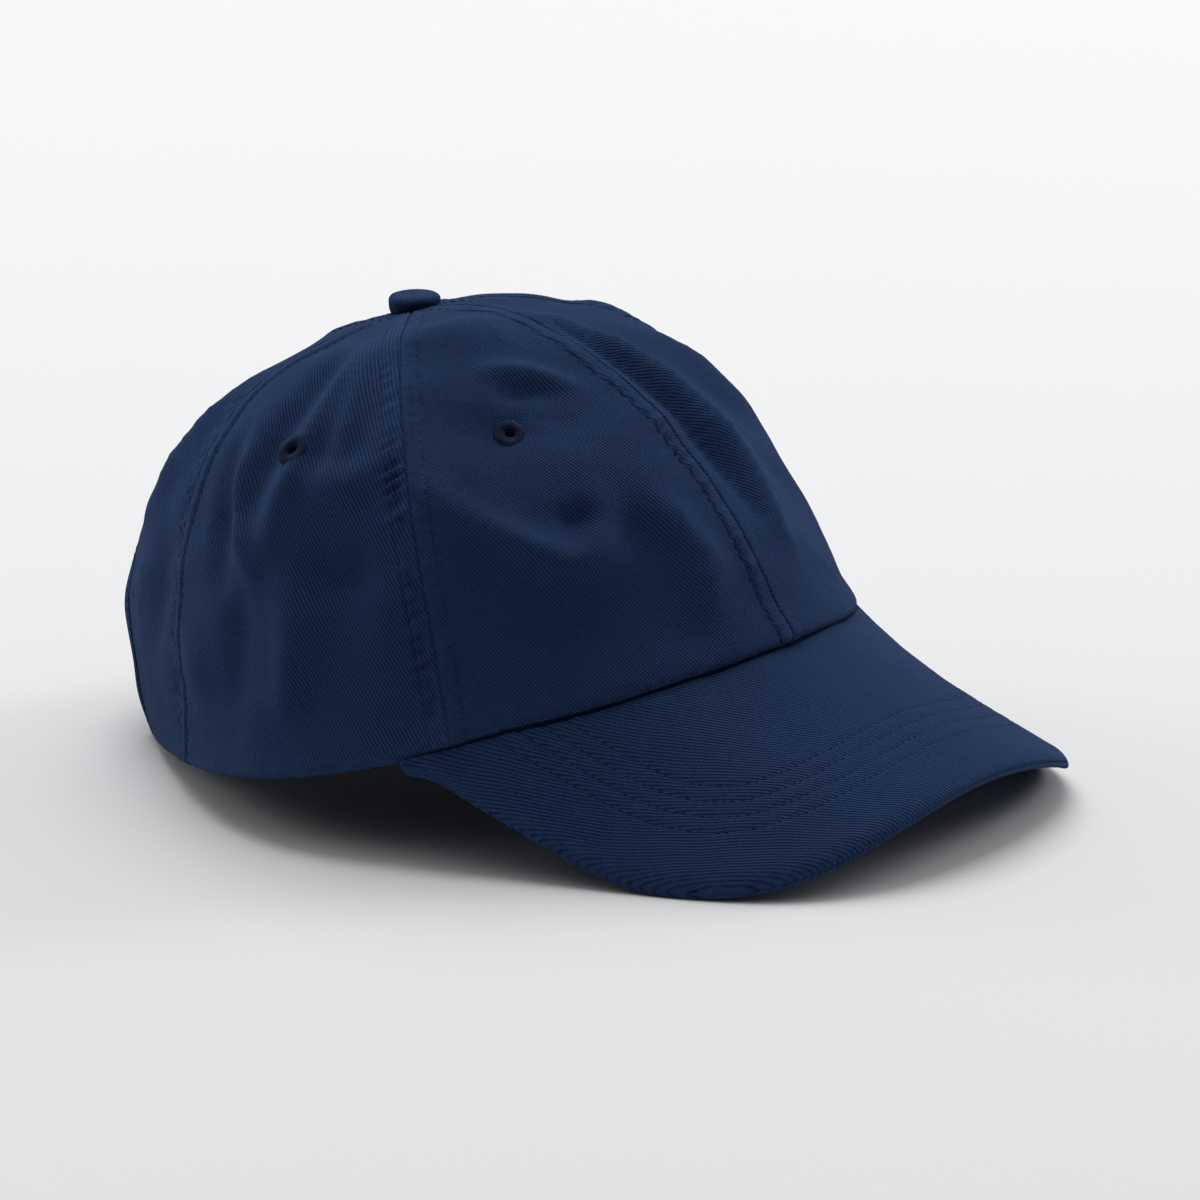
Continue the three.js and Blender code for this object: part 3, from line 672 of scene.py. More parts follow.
def stitch_row(line, normals, pitch_length, radius, seed):
    """Vertices, faces and weave of a row of thread loops that dive into the cloth at their ends."""
    pitch, length = pitch_length
    rng = np.random.default_rng(seed)
    travelled = lengths_along(line)
    count = int(travelled[-1] / pitch)
    starts = np.arange(count) * pitch + rng.uniform(-0.12, 0.12, count)
    share = STITCH_RINGS
    place = starts[:, None] + share * length * rng.uniform(0.9, 1.08, (count, 1))
    centre = np.stack([np.interp(place, travelled, line[:, k]) for k in range(3)], -1)
    normal = unit(np.stack([np.interp(place, travelled, normals[:, k]) for k in range(3)], -1))
    along = unit(centre[:, -1:] - centre[:, :1]) * np.ones_like(centre)
    side = unit(np.cross(along, normal))
    arch = radius * (1.8 * np.sin(np.pi * share) ** 0.7 - 1.3)
    centre = centre + normal * arch[None, :, None] + side * rng.uniform(-0.08, 0.08, (count, 1, 1))
    thick = radius * (0.35 + 0.65 * np.sin(np.pi * share) ** 0.5)
    angle = np.linspace(0, 2 * np.pi, STITCH_SIDES, endpoint=False)
    ring = side[:, :, None] * np.cos(angle)[:, None] + normal[:, :, None] * np.sin(angle)[:, None]
    vertices = centre[:, :, None] + ring * thick[None, :, None, None]
    rings = len(share)
    index = np.arange(count * rings * STITCH_SIDES).reshape(count, rings, STITCH_SIDES)
    turn = np.roll(index, -1, axis=2)
    tube = np.stack([index[:, :-1], index[:, 1:], turn[:, 1:], turn[:, :-1]], -1).reshape(-1, 4)
    caps = [index[:, 0, [0, 1, 2, 3]], index[:, 0, [0, 3, 4, 5]]]
    caps += [index[:, -1, [3, 2, 1, 0]], index[:, -1, [5, 4, 3, 0]]]
    weave = np.stack(np.broadcast_arrays(place[:, :, None], angle), -1)
    return vertices.reshape(-1, 3), np.concatenate([tube, *caps]), weave.reshape(-1, 2)


def stitching(name, rows, pitch_length, radius=0.19):
    """One object that holds many rows of stitches, each a (line, normals) pair."""
    vertices, faces, weave, count = [], [], [], 0
    for number, (line, normals) in enumerate(rows):
        v, f, w = stitch_row(line, normals, pitch_length, radius, SEED + number)
        vertices.append(v)
        faces.append(f + count)
        weave.append(w)
        count += len(v)
    piece = make_piece(name, np.concatenate(vertices), np.concatenate(faces), np.concatenate(weave))
    return finish_piece(piece, "navy_thread")


# ---------- Materials ----------


class Graph:
    """A short way to write a node material."""

    def __init__(self, name):
        self.material = bpy.data.materials.new(name)
        self.material.use_nodes = True
        self.tree = self.material.node_tree
        self.surface = self.tree.nodes["Principled BSDF"]

    def node(self, kind, inputs=(), **settings):
        made = self.tree.nodes.new(kind)
        for key, value in settings.items():
            setattr(made, key, value)
        for key, value in dict(inputs).items():
            self.feed(made.inputs[key], value)
        return made

    def feed(self, socket, value):
        if isinstance(value, bpy.types.NodeSocket):
            self.tree.links.new(value, socket)
        else:
            socket.default_value = value

    def math(self, operation, *values):
        return self.node("ShaderNodeMath", dict(enumerate(values)), operation=operation).outputs[0]

    def noise(self, vector, scale, detail=2.0, roughness=0.5):
        inputs = {"Vector": vector, "Scale": scale, "Detail": detail, "Roughness": roughness}
        return self.node("ShaderNodeTexNoise", inputs).outputs["Fac"]

    def ramp(self, value, low, high, to_low=0.0, to_high=1.0):
        inputs = {"Value": value, "From Min": low, "From Max": high, "To Min": to_low, "To Max": to_high}
        return self.node("ShaderNodeMapRange", inputs, interpolation_type="SMOOTHSTEP").outputs["Result"]

    def blend(self, share, first, second):
        made = self.node("ShaderNodeMix", data_type="RGBA")
        self.feed(made.inputs[0], share)
        self.feed(made.inputs[6], first)
        self.feed(made.inputs[7], second)
        return made.outputs[2]

    def weave(self):
        """Across the flat cloth: the coordinate vector and its two parts, in mm."""
        vector = self.node("ShaderNodeUVMap", uv_map="weave").outputs["UV"]
        parts = self.node("ShaderNodeSeparateXYZ", {0: vector})
        return vector, parts.outputs["X"], parts.outputs["Y"]

    def place(self):
        return self.node("ShaderNodeNewGeometry").outputs["Position"]

    def wear(self):
        return self.node("ShaderNodeAttribute", attribute_name="wear").outputs["Fac"]

    def bump(self, height, distance):
        return self.node("ShaderNodeBump", {"Height": height, "Distance": distance}).outputs["Normal"]

    def finish(self, **inputs):
        for key, value in inputs.items():
            self.feed(self.surface.inputs[key.replace("_", " ")], value)
        return self.material


def colour(base, *shares):
    """An opaque colour: base, darkened or lightened by one share or by one for each channel."""
    shares = shares or (1,)
    return tuple(k * shares[n % len(shares)] for n, k in enumerate(base)) + (1.0,)


def twill(name, base, pitch, relief, painted_shading):
    """Cotton twill: slanted wales crossed by yarns, fibres, washed-out patches and rubbed edges, with painted
    shade in the weave's hollows and a painted highlight on its raised yarns.
    """
    g = Graph(name)
    vector, along, across = g.weave()
    drift = g.math("MULTIPLY_ADD", g.noise(vector, 0.12, 2), 0.5, -0.25)
    wale = g.math("ADD", g.math("DIVIDE", across, pitch), drift)
    ridge = g.math("POWER", g.math("ABSOLUTE", g.math("SINE", g.math("MULTIPLY", wale, np.pi))), 0.8)
    step = g.math("MULTIPLY_ADD", g.math("FLOOR", wale), 0.5, g.math("DIVIDE", along, pitch * 0.85))
    yarn = g.math("ABSOLUTE", g.math("SINE", g.math("MULTIPLY", step, np.pi)))
    fibre = g.noise(vector, 4.5, 3, 0.65)
    slub = g.noise(vector, 0.9, 2)
    height = g.math("MULTIPLY", ridge, g.math("MULTIPLY_ADD", yarn, 0.3, 0.7))
    height = g.math("MULTIPLY_ADD", fibre, 0.35, height)
    # Painted shade and highlight: the colour is darker where the weave's relief is low and lighter where it
    # is high; slub and speck add random tone.
    shade_and_tone = g.math("ADD", g.math("MULTIPLY", height, painted_shading), g.math("MULTIPLY_ADD", slub, 0.5, -0.1))
    speck = g.noise(vector, 1.9, 2, 0.7)
    shade_and_tone = g.math("ADD", shade_and_tone, g.math("MULTIPLY_ADD", speck, 1.1, -0.55))
    # Dark and light copies of the base colour, blended by the painted shade and highlight and the random
    # tone.
    cloth = g.blend(g.ramp(shade_and_tone, 0.1, 1.25), colour(base, 0.3), colour(base, 2.1))
    washed = g.noise(g.place(), 38.0, 4, 0.6)
    cloth = g.blend(g.ramp(washed, 0.3, 0.75, 0.0, 0.3), cloth, colour(base, 1.7, 1.65, 1.5))
    rubbed = g.math("MULTIPLY", g.wear(), g.ramp(g.noise(g.place(), 420.0, 3), 0.35, 0.75))
    cloth = g.blend(g.math("MULTIPLY", rubbed, 0.4), cloth, colour(base, 3.4, 3.2, 2.7))
    return g.finish(
        Base_Color=cloth,
        Roughness=g.ramp(fibre, 0.2, 0.8, 0.82, 0.98),
        Normal=g.bump(height, relief * MM),
        Specular_IOR_Level=0.06,
        Sheen_Weight=0.12,
        Sheen_Roughness=0.35,
        Sheen_Tint=colour((0.2, 0.4, 0.9)),
    )


def thread(name, base):
    """Twisted cotton thread."""
    g = Graph(name)
    _, along, across = g.weave()
    twist = g.math("SINE", g.math("MULTIPLY_ADD", along, 11.0, across))
    fuzz = g.noise(g.place(), 5200.0, 2)
    return g.finish(
        Base_Color=g.blend(g.ramp(fuzz, 0.3, 0.7), colour(base, 0.6), colour(base, 1.5)),
        Roughness=g.ramp(fuzz, 0.3, 0.7, 0.55, 0.8),
        Normal=g.bump(g.math("MULTIPLY_ADD", fuzz, 0.6, twist), 0.04 * MM),
        Specular_IOR_Level=0.15,
    )


def tape(name, base):
    """Woven tape with a herringbone of short bars, with painted shade in its hollows and a painted highlight
    on its bars.
    """
    g = Graph(name)
    vector, along, across = g.weave()
    zigzag = g.math("PINGPONG", across, 1.6)
    bars = g.math("SINE", g.math("MULTIPLY", g.math("ADD", along, zigzag), 7.0))
    fibre = g.noise(vector, 4.0, 3)
    height = g.math("MULTIPLY_ADD", fibre, 0.8, g.math("MULTIPLY_ADD", bars, 0.5, 0.5))
    return g.finish(
        # Painted shade and highlight: the colour is darker where the tape's relief is low and lighter where
        # it is high.
        Base_Color=g.blend(g.ramp(height, 0.2, 1.4), colour(base, 0.5), colour(base, 1.5)),
        Roughness=g.ramp(fibre, 0.2, 0.8, 0.75, 0.95),
        Normal=g.bump(height, 0.08 * MM),
        Specular_IOR_Level=0.2,
    )


def metal(name, base, scale, rough):
    """Handled metal with fine scratches and a patchy patina."""
    g = Graph(name)
    scratches = g.noise(g.place(), scale, 6, 0.75)
    patina = g.noise(g.place(), 160.0, 3)
    return g.finish(
        Base_Color=g.blend(g.ramp(patina, 0.35, 0.7), colour(base), colour(base, 0.55)),
        Metallic=1.0,
        Roughness=g.ramp(scratches, 0.3, 0.75, rough, rough + 0.25),
        Normal=g.bump(scratches, 0.02 * MM),
    )


def plastic(name, base):
    g = Graph(name)
    grain = g.noise(g.place(), 2400.0, 3)
    return g.finish(
        Base_Color=g.blend(g.ramp(grain, 0.3, 0.7), colour(base, 0.92), colour(base)),
        Roughness=g.ramp(grain, 0.3, 0.7, 0.45, 0.6),
        Normal=g.bump(grain, 0.03 * MM),
    )


NAVY = (0.0105, 0.0245, 0.066)

MATERIALS = {
    "navy_twill": twill("navy_twill", NAVY, 0.82, 0.26, 0.95),
    "navy_thread": thread("navy_thread", (0.0085, 0.021, 0.06)),
    "seam_tape": tape("seam_tape", (0.0088, 0.0195, 0.052)),
    "sweatband_cotton": twill("sweatband_cotton", (0.012, 0.027, 0.07), 0.7, 0.12, 0.7),
    "board_plastic": plastic("board_plastic", (0.78, 0.77, 0.72)),
    "plated_steel": metal("plated_steel", (0.55, 0.56, 0.58), 2600.0, 0.25),
    "clasp_brass": metal("clasp_brass", (0.36, 0.26, 0.12), 1900.0, 0.3),
}


def finish_piece(piece, slot, replaces=()):
    """Give a piece its material and slot, and hide the CAD nodes it stands for."""
    piece.data.materials.clear()
    piece.data.materials.append(MATERIALS[slot])
    if replaces:
        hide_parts(*replaces)
    return piece


# FLEX_START and FLEX_END are not used: flex_with_peak() only bakes a piece's transform in and attaches it to
# no body.
FLEX_START = to_row((0, -45, 30))
FLEX_END = to_row((0, -98, 0))


def flex_with_peak(piece):
    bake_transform(piece)


def ride_by_name(piece):
    """Pieces at the back move with the crown; the others only have their transform baked in."""
    if piece.name.startswith("rear"):
        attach(piece, "crown")
    else:
        flex_with_peak(piece)


# ---------- Crown ----------

SEAM_COLUMNS = np.array([0, 0.25, 0.55, 0.9, 1.4, 2.0, 2.6, 3.2, 3.7, 4.1, 4.5, 4.9, 5.3, 5.8, 6.6, 7.8])
MIDDLE_COLUMNS = 56
HEM_ROWS = np.array([0, 0.12, 0.28, 0.5, 0.8, 1.1, 1.5, 2.0, 2.6, 3.3, 4.1, 5.0])
ROW_PITCH = 0.9
SEAM_SHARE = 0.36  # the most of a panel's width that the close columns beside one seam take
HEM_EDGE = 0.15  # thickness left at the hem's lower edge
PANEL_WALE_ANGLE = -62
PANEL_WEAVE_SHIFT = 40  # sets the weave of neighbouring panels apart


def panel_grid(start):
    """(t, s) of a panel's vertices: close together beside the seams and at the hem."""
    end = start + np.radians(60)
    middle = start + np.radians(30)
    length = up_at(middle, PANEL_TOP)
    upper = np.linspace(HEM_ROWS[-1], length, int((length - HEM_ROWS[-1]) / ROW_PITCH))[1:]
    fading = 1 - (upper - HEM_ROWS[-1]) / (length - HEM_ROWS[-1])
    lift = np.concatenate([[0, 0.5], np.ones(len(HEM_ROWS) - 1), fading])
    above = np.concatenate([[0, 0], HEM_ROWS[1:], upper])
    t = np.linspace(start, end, 2 * len(SEAM_COLUMNS) + MIDDLE_COLUMNS)[None].repeat(len(above), 0)
    for _ in range(3):
        up = above[:, None] * up_at(t, PANEL_TOP) / length + lift[:, None] * peak_top_at_hem(t)
        s = np.clip(s_at(t, up), 0, PANEL_TOP)
        rate_start = round_rate(start, s[:, 0])
        rate_end = round_rate(end, s[:, -1])
        width = np.radians(60) * (rate_start + rate_end) / 2
        fit = np.minimum(1, SEAM_SHARE * width / SEAM_COLUMNS[-1])[:, None]
        first = start + (SEAM_GAP + SEAM_COLUMNS * fit) / rate_start[:, None]
        last = end - (SEAM_GAP + SEAM_COLUMNS[::-1] * fit) / rate_end[:, None]
        share = np.linspace(0, 1, MIDDLE_COLUMNS + 2)[1:-1]
        between = first[:, -1:] + (last[:, :1] - first[:, -1:]) * share
        t = np.concatenate([first, between, last], 1)
    return t, s


def inside_opening(points, margin):
    x, z = points[..., 0], points[..., 2]
    half, top = OPENING_HALF_WIDTH + margin, OPENING_HEIGHT + margin - OPENING_STRAIGHT
    arch = OPENING_STRAIGHT + top * np.sqrt(np.clip(1 - (x / half) ** 2, 0, 1))
    return (np.abs(x) < half) & (z < arch) & (points[..., 1] > 0)


def centres(grid):
    return (grid[:-1, :-1] + grid[1:, :-1] + grid[:-1, 1:] + grid[1:, 1:]) / 4


def make_panel(name, start, eyelet_turn):
    """One of the crown's panels, with its eyelet's hole and the rear opening cut out."""
    t, s = panel_grid(start)
    outer = crown_outside(t, s)
    up = up_at(t, s)
    turned = 1 - smoothstep(up, 7, 9)
    depth = CLOTH + (2 * HEM_ROLL - CLOTH) * turned
    radius = hem_radius(t)
    above = np.clip(up - peak_top_at_hem(t), 0, radius)
    depth = depth - (2 * HEM_ROLL - radius - HEM_EDGE) * (1 - np.sqrt(1 - (1 - above / radius) ** 2))
    inner = crown_layer(t, s, depth)
    smooth = crown_surface(t, s)
    eyelet = crown_surface(eyelet_turn, EYELET_HEIGHT)
    keep = np.linalg.norm(centres(smooth) - eyelet, axis=-1) > EYELET_CUT
    if name.startswith("rear"):
        keep &= ~inside_opening(centres(smooth), 1.2)
    vertices, faces = shell_mesh(outer, inner, keep)
    rate = round_rate(t, s)
    across = (t - start - np.radians(30)) * rate
    weave = turned_weave(across, up, PANEL_WALE_ANGLE) + PANEL_WEAVE_SHIFT * np.floor(start)
    gap = np.minimum(t - start, start + np.radians(60) - t) * rate
    above = up - peak_top_at_hem(t)
    wear = 0.9 * bell(gap - 1.2, 0.8) + 0.8 * bell(above - 1.0, 1.3) + 0.35 * bell(gap - 4, 3)
    return finish_piece(make_piece(name, vertices, faces, weave, wear), "navy_twill", [name])


for name, start, eyelet_turn in PANELS:
    ride_by_name(make_panel(name, np.radians(start), np.radians(eyelet_turn)))


REAR_SEAM = 3  # seams are counted from the front towards the wearer's left


def seam_row(number, offset):
    """A line beside a seam, offset in mm towards the wearer's left, from the hem to under the button."""
    seam = np.radians(60 * number)
    length = up_at(seam, PANEL_TOP)
    first = peak_top_at_hem(seam) + 2.2
    if number == REAR_SEAM:
        first = up_at(*find_on_rear(0, OPENING_HEIGHT + 9))
    up = np.linspace(first, length - 4, 240)
    s = s_at(seam, up)
    t = seam + offset / round_rate(seam, s)
    return crown_outside(t, s), crown_normal(t, s)


for label, numbers in (("front", (0, 1, 5)), ("rear", (2, 3, 4))):
    rows = [seam_row(number, offset) for number in numbers for offset in (-SEAM_ROW_LEFT, SEAM_ROW_RIGHT)]
    ride_by_name(stitching(label + "_seam_topstitching", rows, CROWN_STITCH))


TAPE_STATIONS = 90
TAPE_BOW = 0.3
TAPE_START = 0.012  # s where the tapes begin
SIDE_TAPE_TOP = 0.93  # and where those of the sides end
CENTRE_TAPE_TOP = 0.955  # s where the middle tape crosses over the apex


def seam_stations(t, s):
    """Points under a seam, with the crown's normal and the direction across the seam."""
    normal = crown_normal(t, s)
    rise = crown_surface(t, s + STEP) - crown_surface(t, s - STEP)
    side = unit(np.cross(rise, normal))
    return crown_layer(t, s, TAPE_DEPTH + 0.05), normal, side


def make_tape(name, stations):
    """A strip along a line of stations, bowed to follow the crown."""
    point, normal, side = stations
    across = np.linspace(-0.5, 0.5, 9)
    middle = point[:, None] + side[:, None] * (across * TAPE_WIDTH)[:, None]
    down = -normal[:, None]
    bow = TAPE_BOW * (2 * across) ** 2
    vertices, faces = shell_mesh(middle + down * bow[:, None], middle + down * (bow + TAPE_CLOTH)[:, None])
    weave = np.stack(np.broadcast_arrays(lengths_along(point)[:, None], across * TAPE_WIDTH), -1)
    return finish_piece(make_piece(name, vertices, faces, weave), "seam_tape", [name])


for name, angle in (("front_left", 60), ("rear_left", 120), ("rear_right", 240), ("front_right", 300)):
    seam = np.full(TAPE_STATIONS, np.radians(angle))
    stations = seam_stations(seam, np.linspace(TAPE_START, SIDE_TAPE_TOP, TAPE_STATIONS))
    ride_by_name(make_tape(name + "_seam_tape", stations))


def centre_stations():
    """The middle tape runs from the front hem over the apex to the rear arch."""
    rows = TAPE_STATIONS
    front = seam_stations(np.zeros(rows), np.linspace(TAPE_START, CENTRE_TAPE_TOP, rows))
    arch_top = find_on_rear(np.zeros(1), np.full(1, OPENING_HEIGHT + 10.0))[1][0]
    rear = seam_stations(np.full(rows, np.pi), np.linspace(CENTRE_TAPE_TOP, arch_top, rows))
    return tuple(np.concatenate([a, sign * b]) for a, b, sign in zip(front, rear, (1, 1, -1)))


flex_with_peak(make_tape("centre_seam_tape", centre_stations()))


SWEATBAND_START = 0.9  # height of its lower edge above the hem
SWEATBAND_ROWS = (0.07, 0.86)  # its two rows of stitches, as shares of its height
SWEATBAND_WALE_ANGLE = 55


def sweatband_place(t, share):
    """Where the band lies: the smooth crown outside it, the normal there and the band's depth below it."""
    up = SWEATBAND_START + share * (SWEATBAND_HEIGHT - SWEATBAND_START)
    s = s_at(t, up)
    smooth = crown_surface(t, s)
    waves = 0.35 * ripple(smooth, 30, SEED + 9) * smoothstep(share, 0.3, 1)
    rear = smoothstep(-np.cos(t), 0.45, 0.8)
    return up, smooth, crown_normal(t, s), SWEATBAND_DEPTH + SWEATBAND_REAR_ROOM * rear + waves


def make_sweatband():
    t = np.linspace(-SWEATBAND_END, SWEATBAND_END, 420)[None]
    share = np.linspace(0, 1, 30)[:, None]
    up, smooth, normal, depth = sweatband_place(t, share)
    rim = bell(share - 1, 0.06) * 0.5
    row = 0.25 * bell((share - SWEATBAND_ROWS[-1]) * SWEATBAND_HEIGHT, 0.7)
    outer = smooth - normal * (depth + 0.5)[..., None]
    inner = smooth - normal * (depth + 0.5 + SWEATBAND_CLOTH - row - rim)[..., None]
    weave = turned_weave(t * HEM_HALF_WIDTH + 0 * share, up + 0 * t, SWEATBAND_WALE_ANGLE)
    piece = make_piece("sweatband", *shell_mesh(outer, inner), weave)
    return finish_piece(piece, "sweatband_cotton", ["sweatband"])


flex_with_peak(make_sweatband())


def sweatband_rows():
    t = np.linspace(-SWEATBAND_END + 0.02, SWEATBAND_END - 0.02, 900)
    for share in SWEATBAND_ROWS:
        _, smooth, normal, depth = sweatband_place(t, share)
        yield smooth - normal * (depth + 0.45 + SWEATBAND_CLOTH)[..., None], -normal


flex_with_peak(stitching("sweatband_stitching", list(sweatband_rows()), CROWN_STITCH))


def opening_edge(angle, margin):
    """(t, s) at an angle along the rear arch, `margin` mm outside its edge."""
    x = (OPENING_HALF_WIDTH + margin) * np.cos(angle)
    z = OPENING_STRAIGHT + (OPENING_HEIGHT - OPENING_STRAIGHT + margin) * np.sin(angle)
    straight = np.minimum(angle, np.pi - angle) < 0
    beyond = np.where(angle < 0, -angle, angle - np.pi) * OPENING_HALF_WIDTH
    x = np.where(straight, np.sign(x) * (OPENING_HALF_WIDTH + margin), x)
    z = np.where(straight, OPENING_STRAIGHT - beyond, z)
    return find_on_rear(x, z)


# Cross-section of the binding: how far outside the edge, and how deep inside the crown's outer face
BINDING = [
    (6.6, -0.12), (6.4, -0.4), (5.9, -0.55), (5.2, -0.42), (4.6, -0.5), (3.4, -0.68), (2.0, -0.7),
    (0.9, -0.66), (0.1, -0.4), (-0.35, 0.1), (-0.35, 0.8), (0.1, 1.35), (1.2, 1.6), (3, 1.62),
    (5, 1.6), (7, 1.6), (8.2, 1.55), (8.5, 1.3), (8.2, 1.1), (6, 1.05), (3, 1.05),
    (1.1, 1.0), (0.5, 0.7), (0.5, 0.2), (1.0, -0.02), (3, -0.05), (5.5, -0.05),
]  # fmt: skip


BINDING_WALE_ANGLE = 30


def make_binding():
    """Self-fabric binding folded over the edge of the rear opening."""
    angle = np.linspace(-0.16, np.pi + 0.16, 150)
    rings = []
    for margin, depth in BINDING:
        t, s = opening_edge(angle, margin)
        s = np.maximum(s, 0.002)
        smooth = crown_surface(t, s)
        height = crown_folds(smooth, up_at(t, s)) - depth
        rings.append(smooth + crown_normal(t, s) * height[:, None])
    rings = np.stack(rings, 1)
    count, around = rings.shape[:2]
    index = np.arange(count * around).reshape(count, around)
    turn = np.roll(index, -1, axis=1)
    tube = np.stack([index[:-1], turn[:-1], turn[1:], index[1:]], -1).reshape(-1, 4)
    faces = np.concatenate([tube, cap(index[0], False), cap(index[-1], True)])
    section = lengths_along(np.array(BINDING))[None]
    travelled = lengths_along(rings[:, 0])[:, None]
    weave = turned_weave(travelled + 0 * section, section + 0 * travelled, BINDING_WALE_ANGLE)
    piece = make_piece("rear_opening_binding", rings.reshape(-1, 3), faces, weave)
    return finish_piece(piece, "navy_twill", ["rear_opening_binding"])


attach(make_binding(), "crown")


def binding_row(margin):
    angle = np.linspace(-0.12, np.pi + 0.12, 400)
    t, s = opening_edge(angle, margin)
    smooth = crown_surface(t, s)
    normal = crown_normal(t, s)
    return smooth + normal * (crown_folds(smooth, up_at(t, s)) + 0.46)[:, None], normal


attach(stitching("rear_opening_stitching", [binding_row(5.1)], CROWN_STITCH), "crown")


# ---------- Eyelets ----------

THREADS = 46  # radial threads of one eyelet
EYELET_SECTION = [  # radius and height above the cloth, over the ring and back through the hole
    (4.05, -0.5), (4.0, 0.0), (3.75, 0.42), (3.3, 0.72), (2.75, 0.85), (2.2, 0.78), (1.75, 0.5),
    (1.45, 0.05), (1.35, -0.6), (1.45, -1.3), (1.9, -1.75), (2.6, -1.95), (3.3, -1.85), (3.8, -1.55),
    (3.95, -1.2), (2.45, -1.0), (2.4, -0.6),
]  # fmt: skip
EYELET_SUNK = 0.3


def make_eyelet(name, degrees):
    """A ring of radial thread with an uneven outer edge."""
    rng = np.random.default_rng(SEED + int(degrees))
    around = THREADS * 6
    angle = np.linspace(0, 2 * np.pi, around, endpoint=False)
    section = np.array(EYELET_SECTION)
    lobe = np.abs(np.cos(angle * THREADS / 2)) ** 0.7
    reach = np.repeat(rng.uniform(-0.22, 0.22, THREADS), 6)
    outwards = smoothstep(section[:, 0], 1.8, 4)[None]
    uneven = 0.07 * np.cos(2 * angle + degrees)[:, None]
    radius = section[None, :, 0] + outwards * (reach[:, None] + 0.3) + uneven
    height = section[None, :, 1] + (section[None, :, 1] > 0) * 0.2 * (lobe[:, None] - 0.75)
    t = np.radians(degrees)
    centre = crown_surface(t, EYELET_HEIGHT)
    normal = crown_normal(t, EYELET_HEIGHT)
    centre = centre + normal * (crown_folds(centre, up_at(t, EYELET_HEIGHT)) - EYELET_SUNK)
    side = unit(np.cross((0, 0, 1.0), normal))
    rise = np.cross(normal, side)
    outward = side * np.cos(angle)[:, None, None] + rise * np.sin(angle)[:, None, None]
    points = centre + radius[..., None] * outward + normal * height[..., None]
    index = np.arange(points.size // 3).reshape(points.shape[:2])
    next_ring = np.roll(index, -1, axis=0)
    faces = np.stack([index, next_ring, np.roll(next_ring, -1, axis=1), np.roll(index, -1, axis=1)], -1)
    weave = np.stack(np.broadcast_arrays(lengths_along(section), angle[:, None] * 3), -1)
    piece = make_piece(name, points.reshape(-1, 3), faces.reshape(-1, 4), weave)
    return finish_piece(piece, "navy_thread", [name])


for name, _, eyelet_turn in PANELS:
    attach(make_eyelet(name.replace("panel", "eyelet"), eyelet_turn), "crown")


# ---------- Button ----------


# Radius and height from the button's top: over the outside, under the edge and back inside
BUTTON_SECTION = [
    (0.02, 0), (2.4, 0), (4.6, -0.05), (5.8, -0.35), (6.45, -1.0), (6.6, -2.0), (6.5, -3.0),
    (6.0, -3.9), (5.0, -4.3), (4.2, -4.2), (4.0, -3.4), (4.9, -2.3), (5.2, -1.5), (4.7, -0.95),
    (3.4, -0.65), (0.02, -0.55),
]  # fmt: skip
BUTTON_WALE_ANGLE = 20


def make_button():
    """Cloth drawn over a metal button and gathered under its edge."""
    top = BUTTON_SEAT + BUTTON_HEIGHT
    section = on_curve(BUTTON_SECTION, 70) + (0, top)
    angle = np.linspace(0, 2 * np.pi, 120, endpoint=False)[:, None]
    radius, height = section[None, :, 0], section[None, :, 1] + 0 * angle
    shoulder = bell(height - (top - 2.0), 1.2) * smoothstep(radius, 5, 6.3)
    gathers = np.sin(17 * angle + 1.2 * np.sin(3 * angle))
    gather = 0.1 * gathers * bell(height - (top - 3.8), 1.1) * (radius > 4)
    uneven = 0.08 * np.cos(2 * angle + 0.6) + 0.05 * np.cos(3 * angle + 2)
    radius = radius + smoothstep(radius, 2, 6) * uneven * (0.5 + shoulder) + gather
    x, y = radius * np.cos(angle), radius * np.sin(angle)
    height = height + 0.06 * ripple(np.stack([x, y, 0 * x], -1), 6, SEED + 5) * (height > top - 0.5)
    tilt = np.sin(BUTTON_LEAN) * smoothstep(height, top - 4.1, top - 1.2)
    points = np.stack([x, y - height * np.sin(BUTTON_LEAN), height + y * tilt], -1) + APEX
    index = np.arange(points.size // 3).reshape(points.shape[:2])
    turn = np.roll(index, -1, axis=0)
    faces = np.stack([index[:, :-1], index[:, 1:], turn[:, 1:], turn[:, :-1]], -1).reshape(-1, 4)
    faces = np.concatenate([faces, cap(index[:, 0], True), cap(index[:, -1], False)])
    unrolled = lengths_along(section)
    weave = turned_weave(unrolled * np.cos(angle), unrolled * np.sin(angle), BUTTON_WALE_ANGLE)
    wear = 0.6 * bell(height - (top - 0.7), 0.8)
    piece = make_piece("button_cover", points.reshape(-1, 3), faces, weave, wear)
    return finish_piece(piece, "navy_twill", ["button_cover"])


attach(make_button(), "crown")


# ---------- Peak ----------

PEAK_COLUMNS = 260
PEAK_GRID_ROWS = 112
BOARD_ROWS = 60
RIM_ROUND = 3.6  # width of the rim's rounded shoulder
PEAK_WALE_ANGLE = 54
BOARD_HALF = 1.1  # half the board's thickness
BOARD_INSET = 4.5  # how far the board stays behind the rim
BOARD_END = 0.03  # and short of the peak's ends, as a share of its length
PEAK_END_WRAP = 0.006  # how far the covers close round the peak's ends, as a share of its length


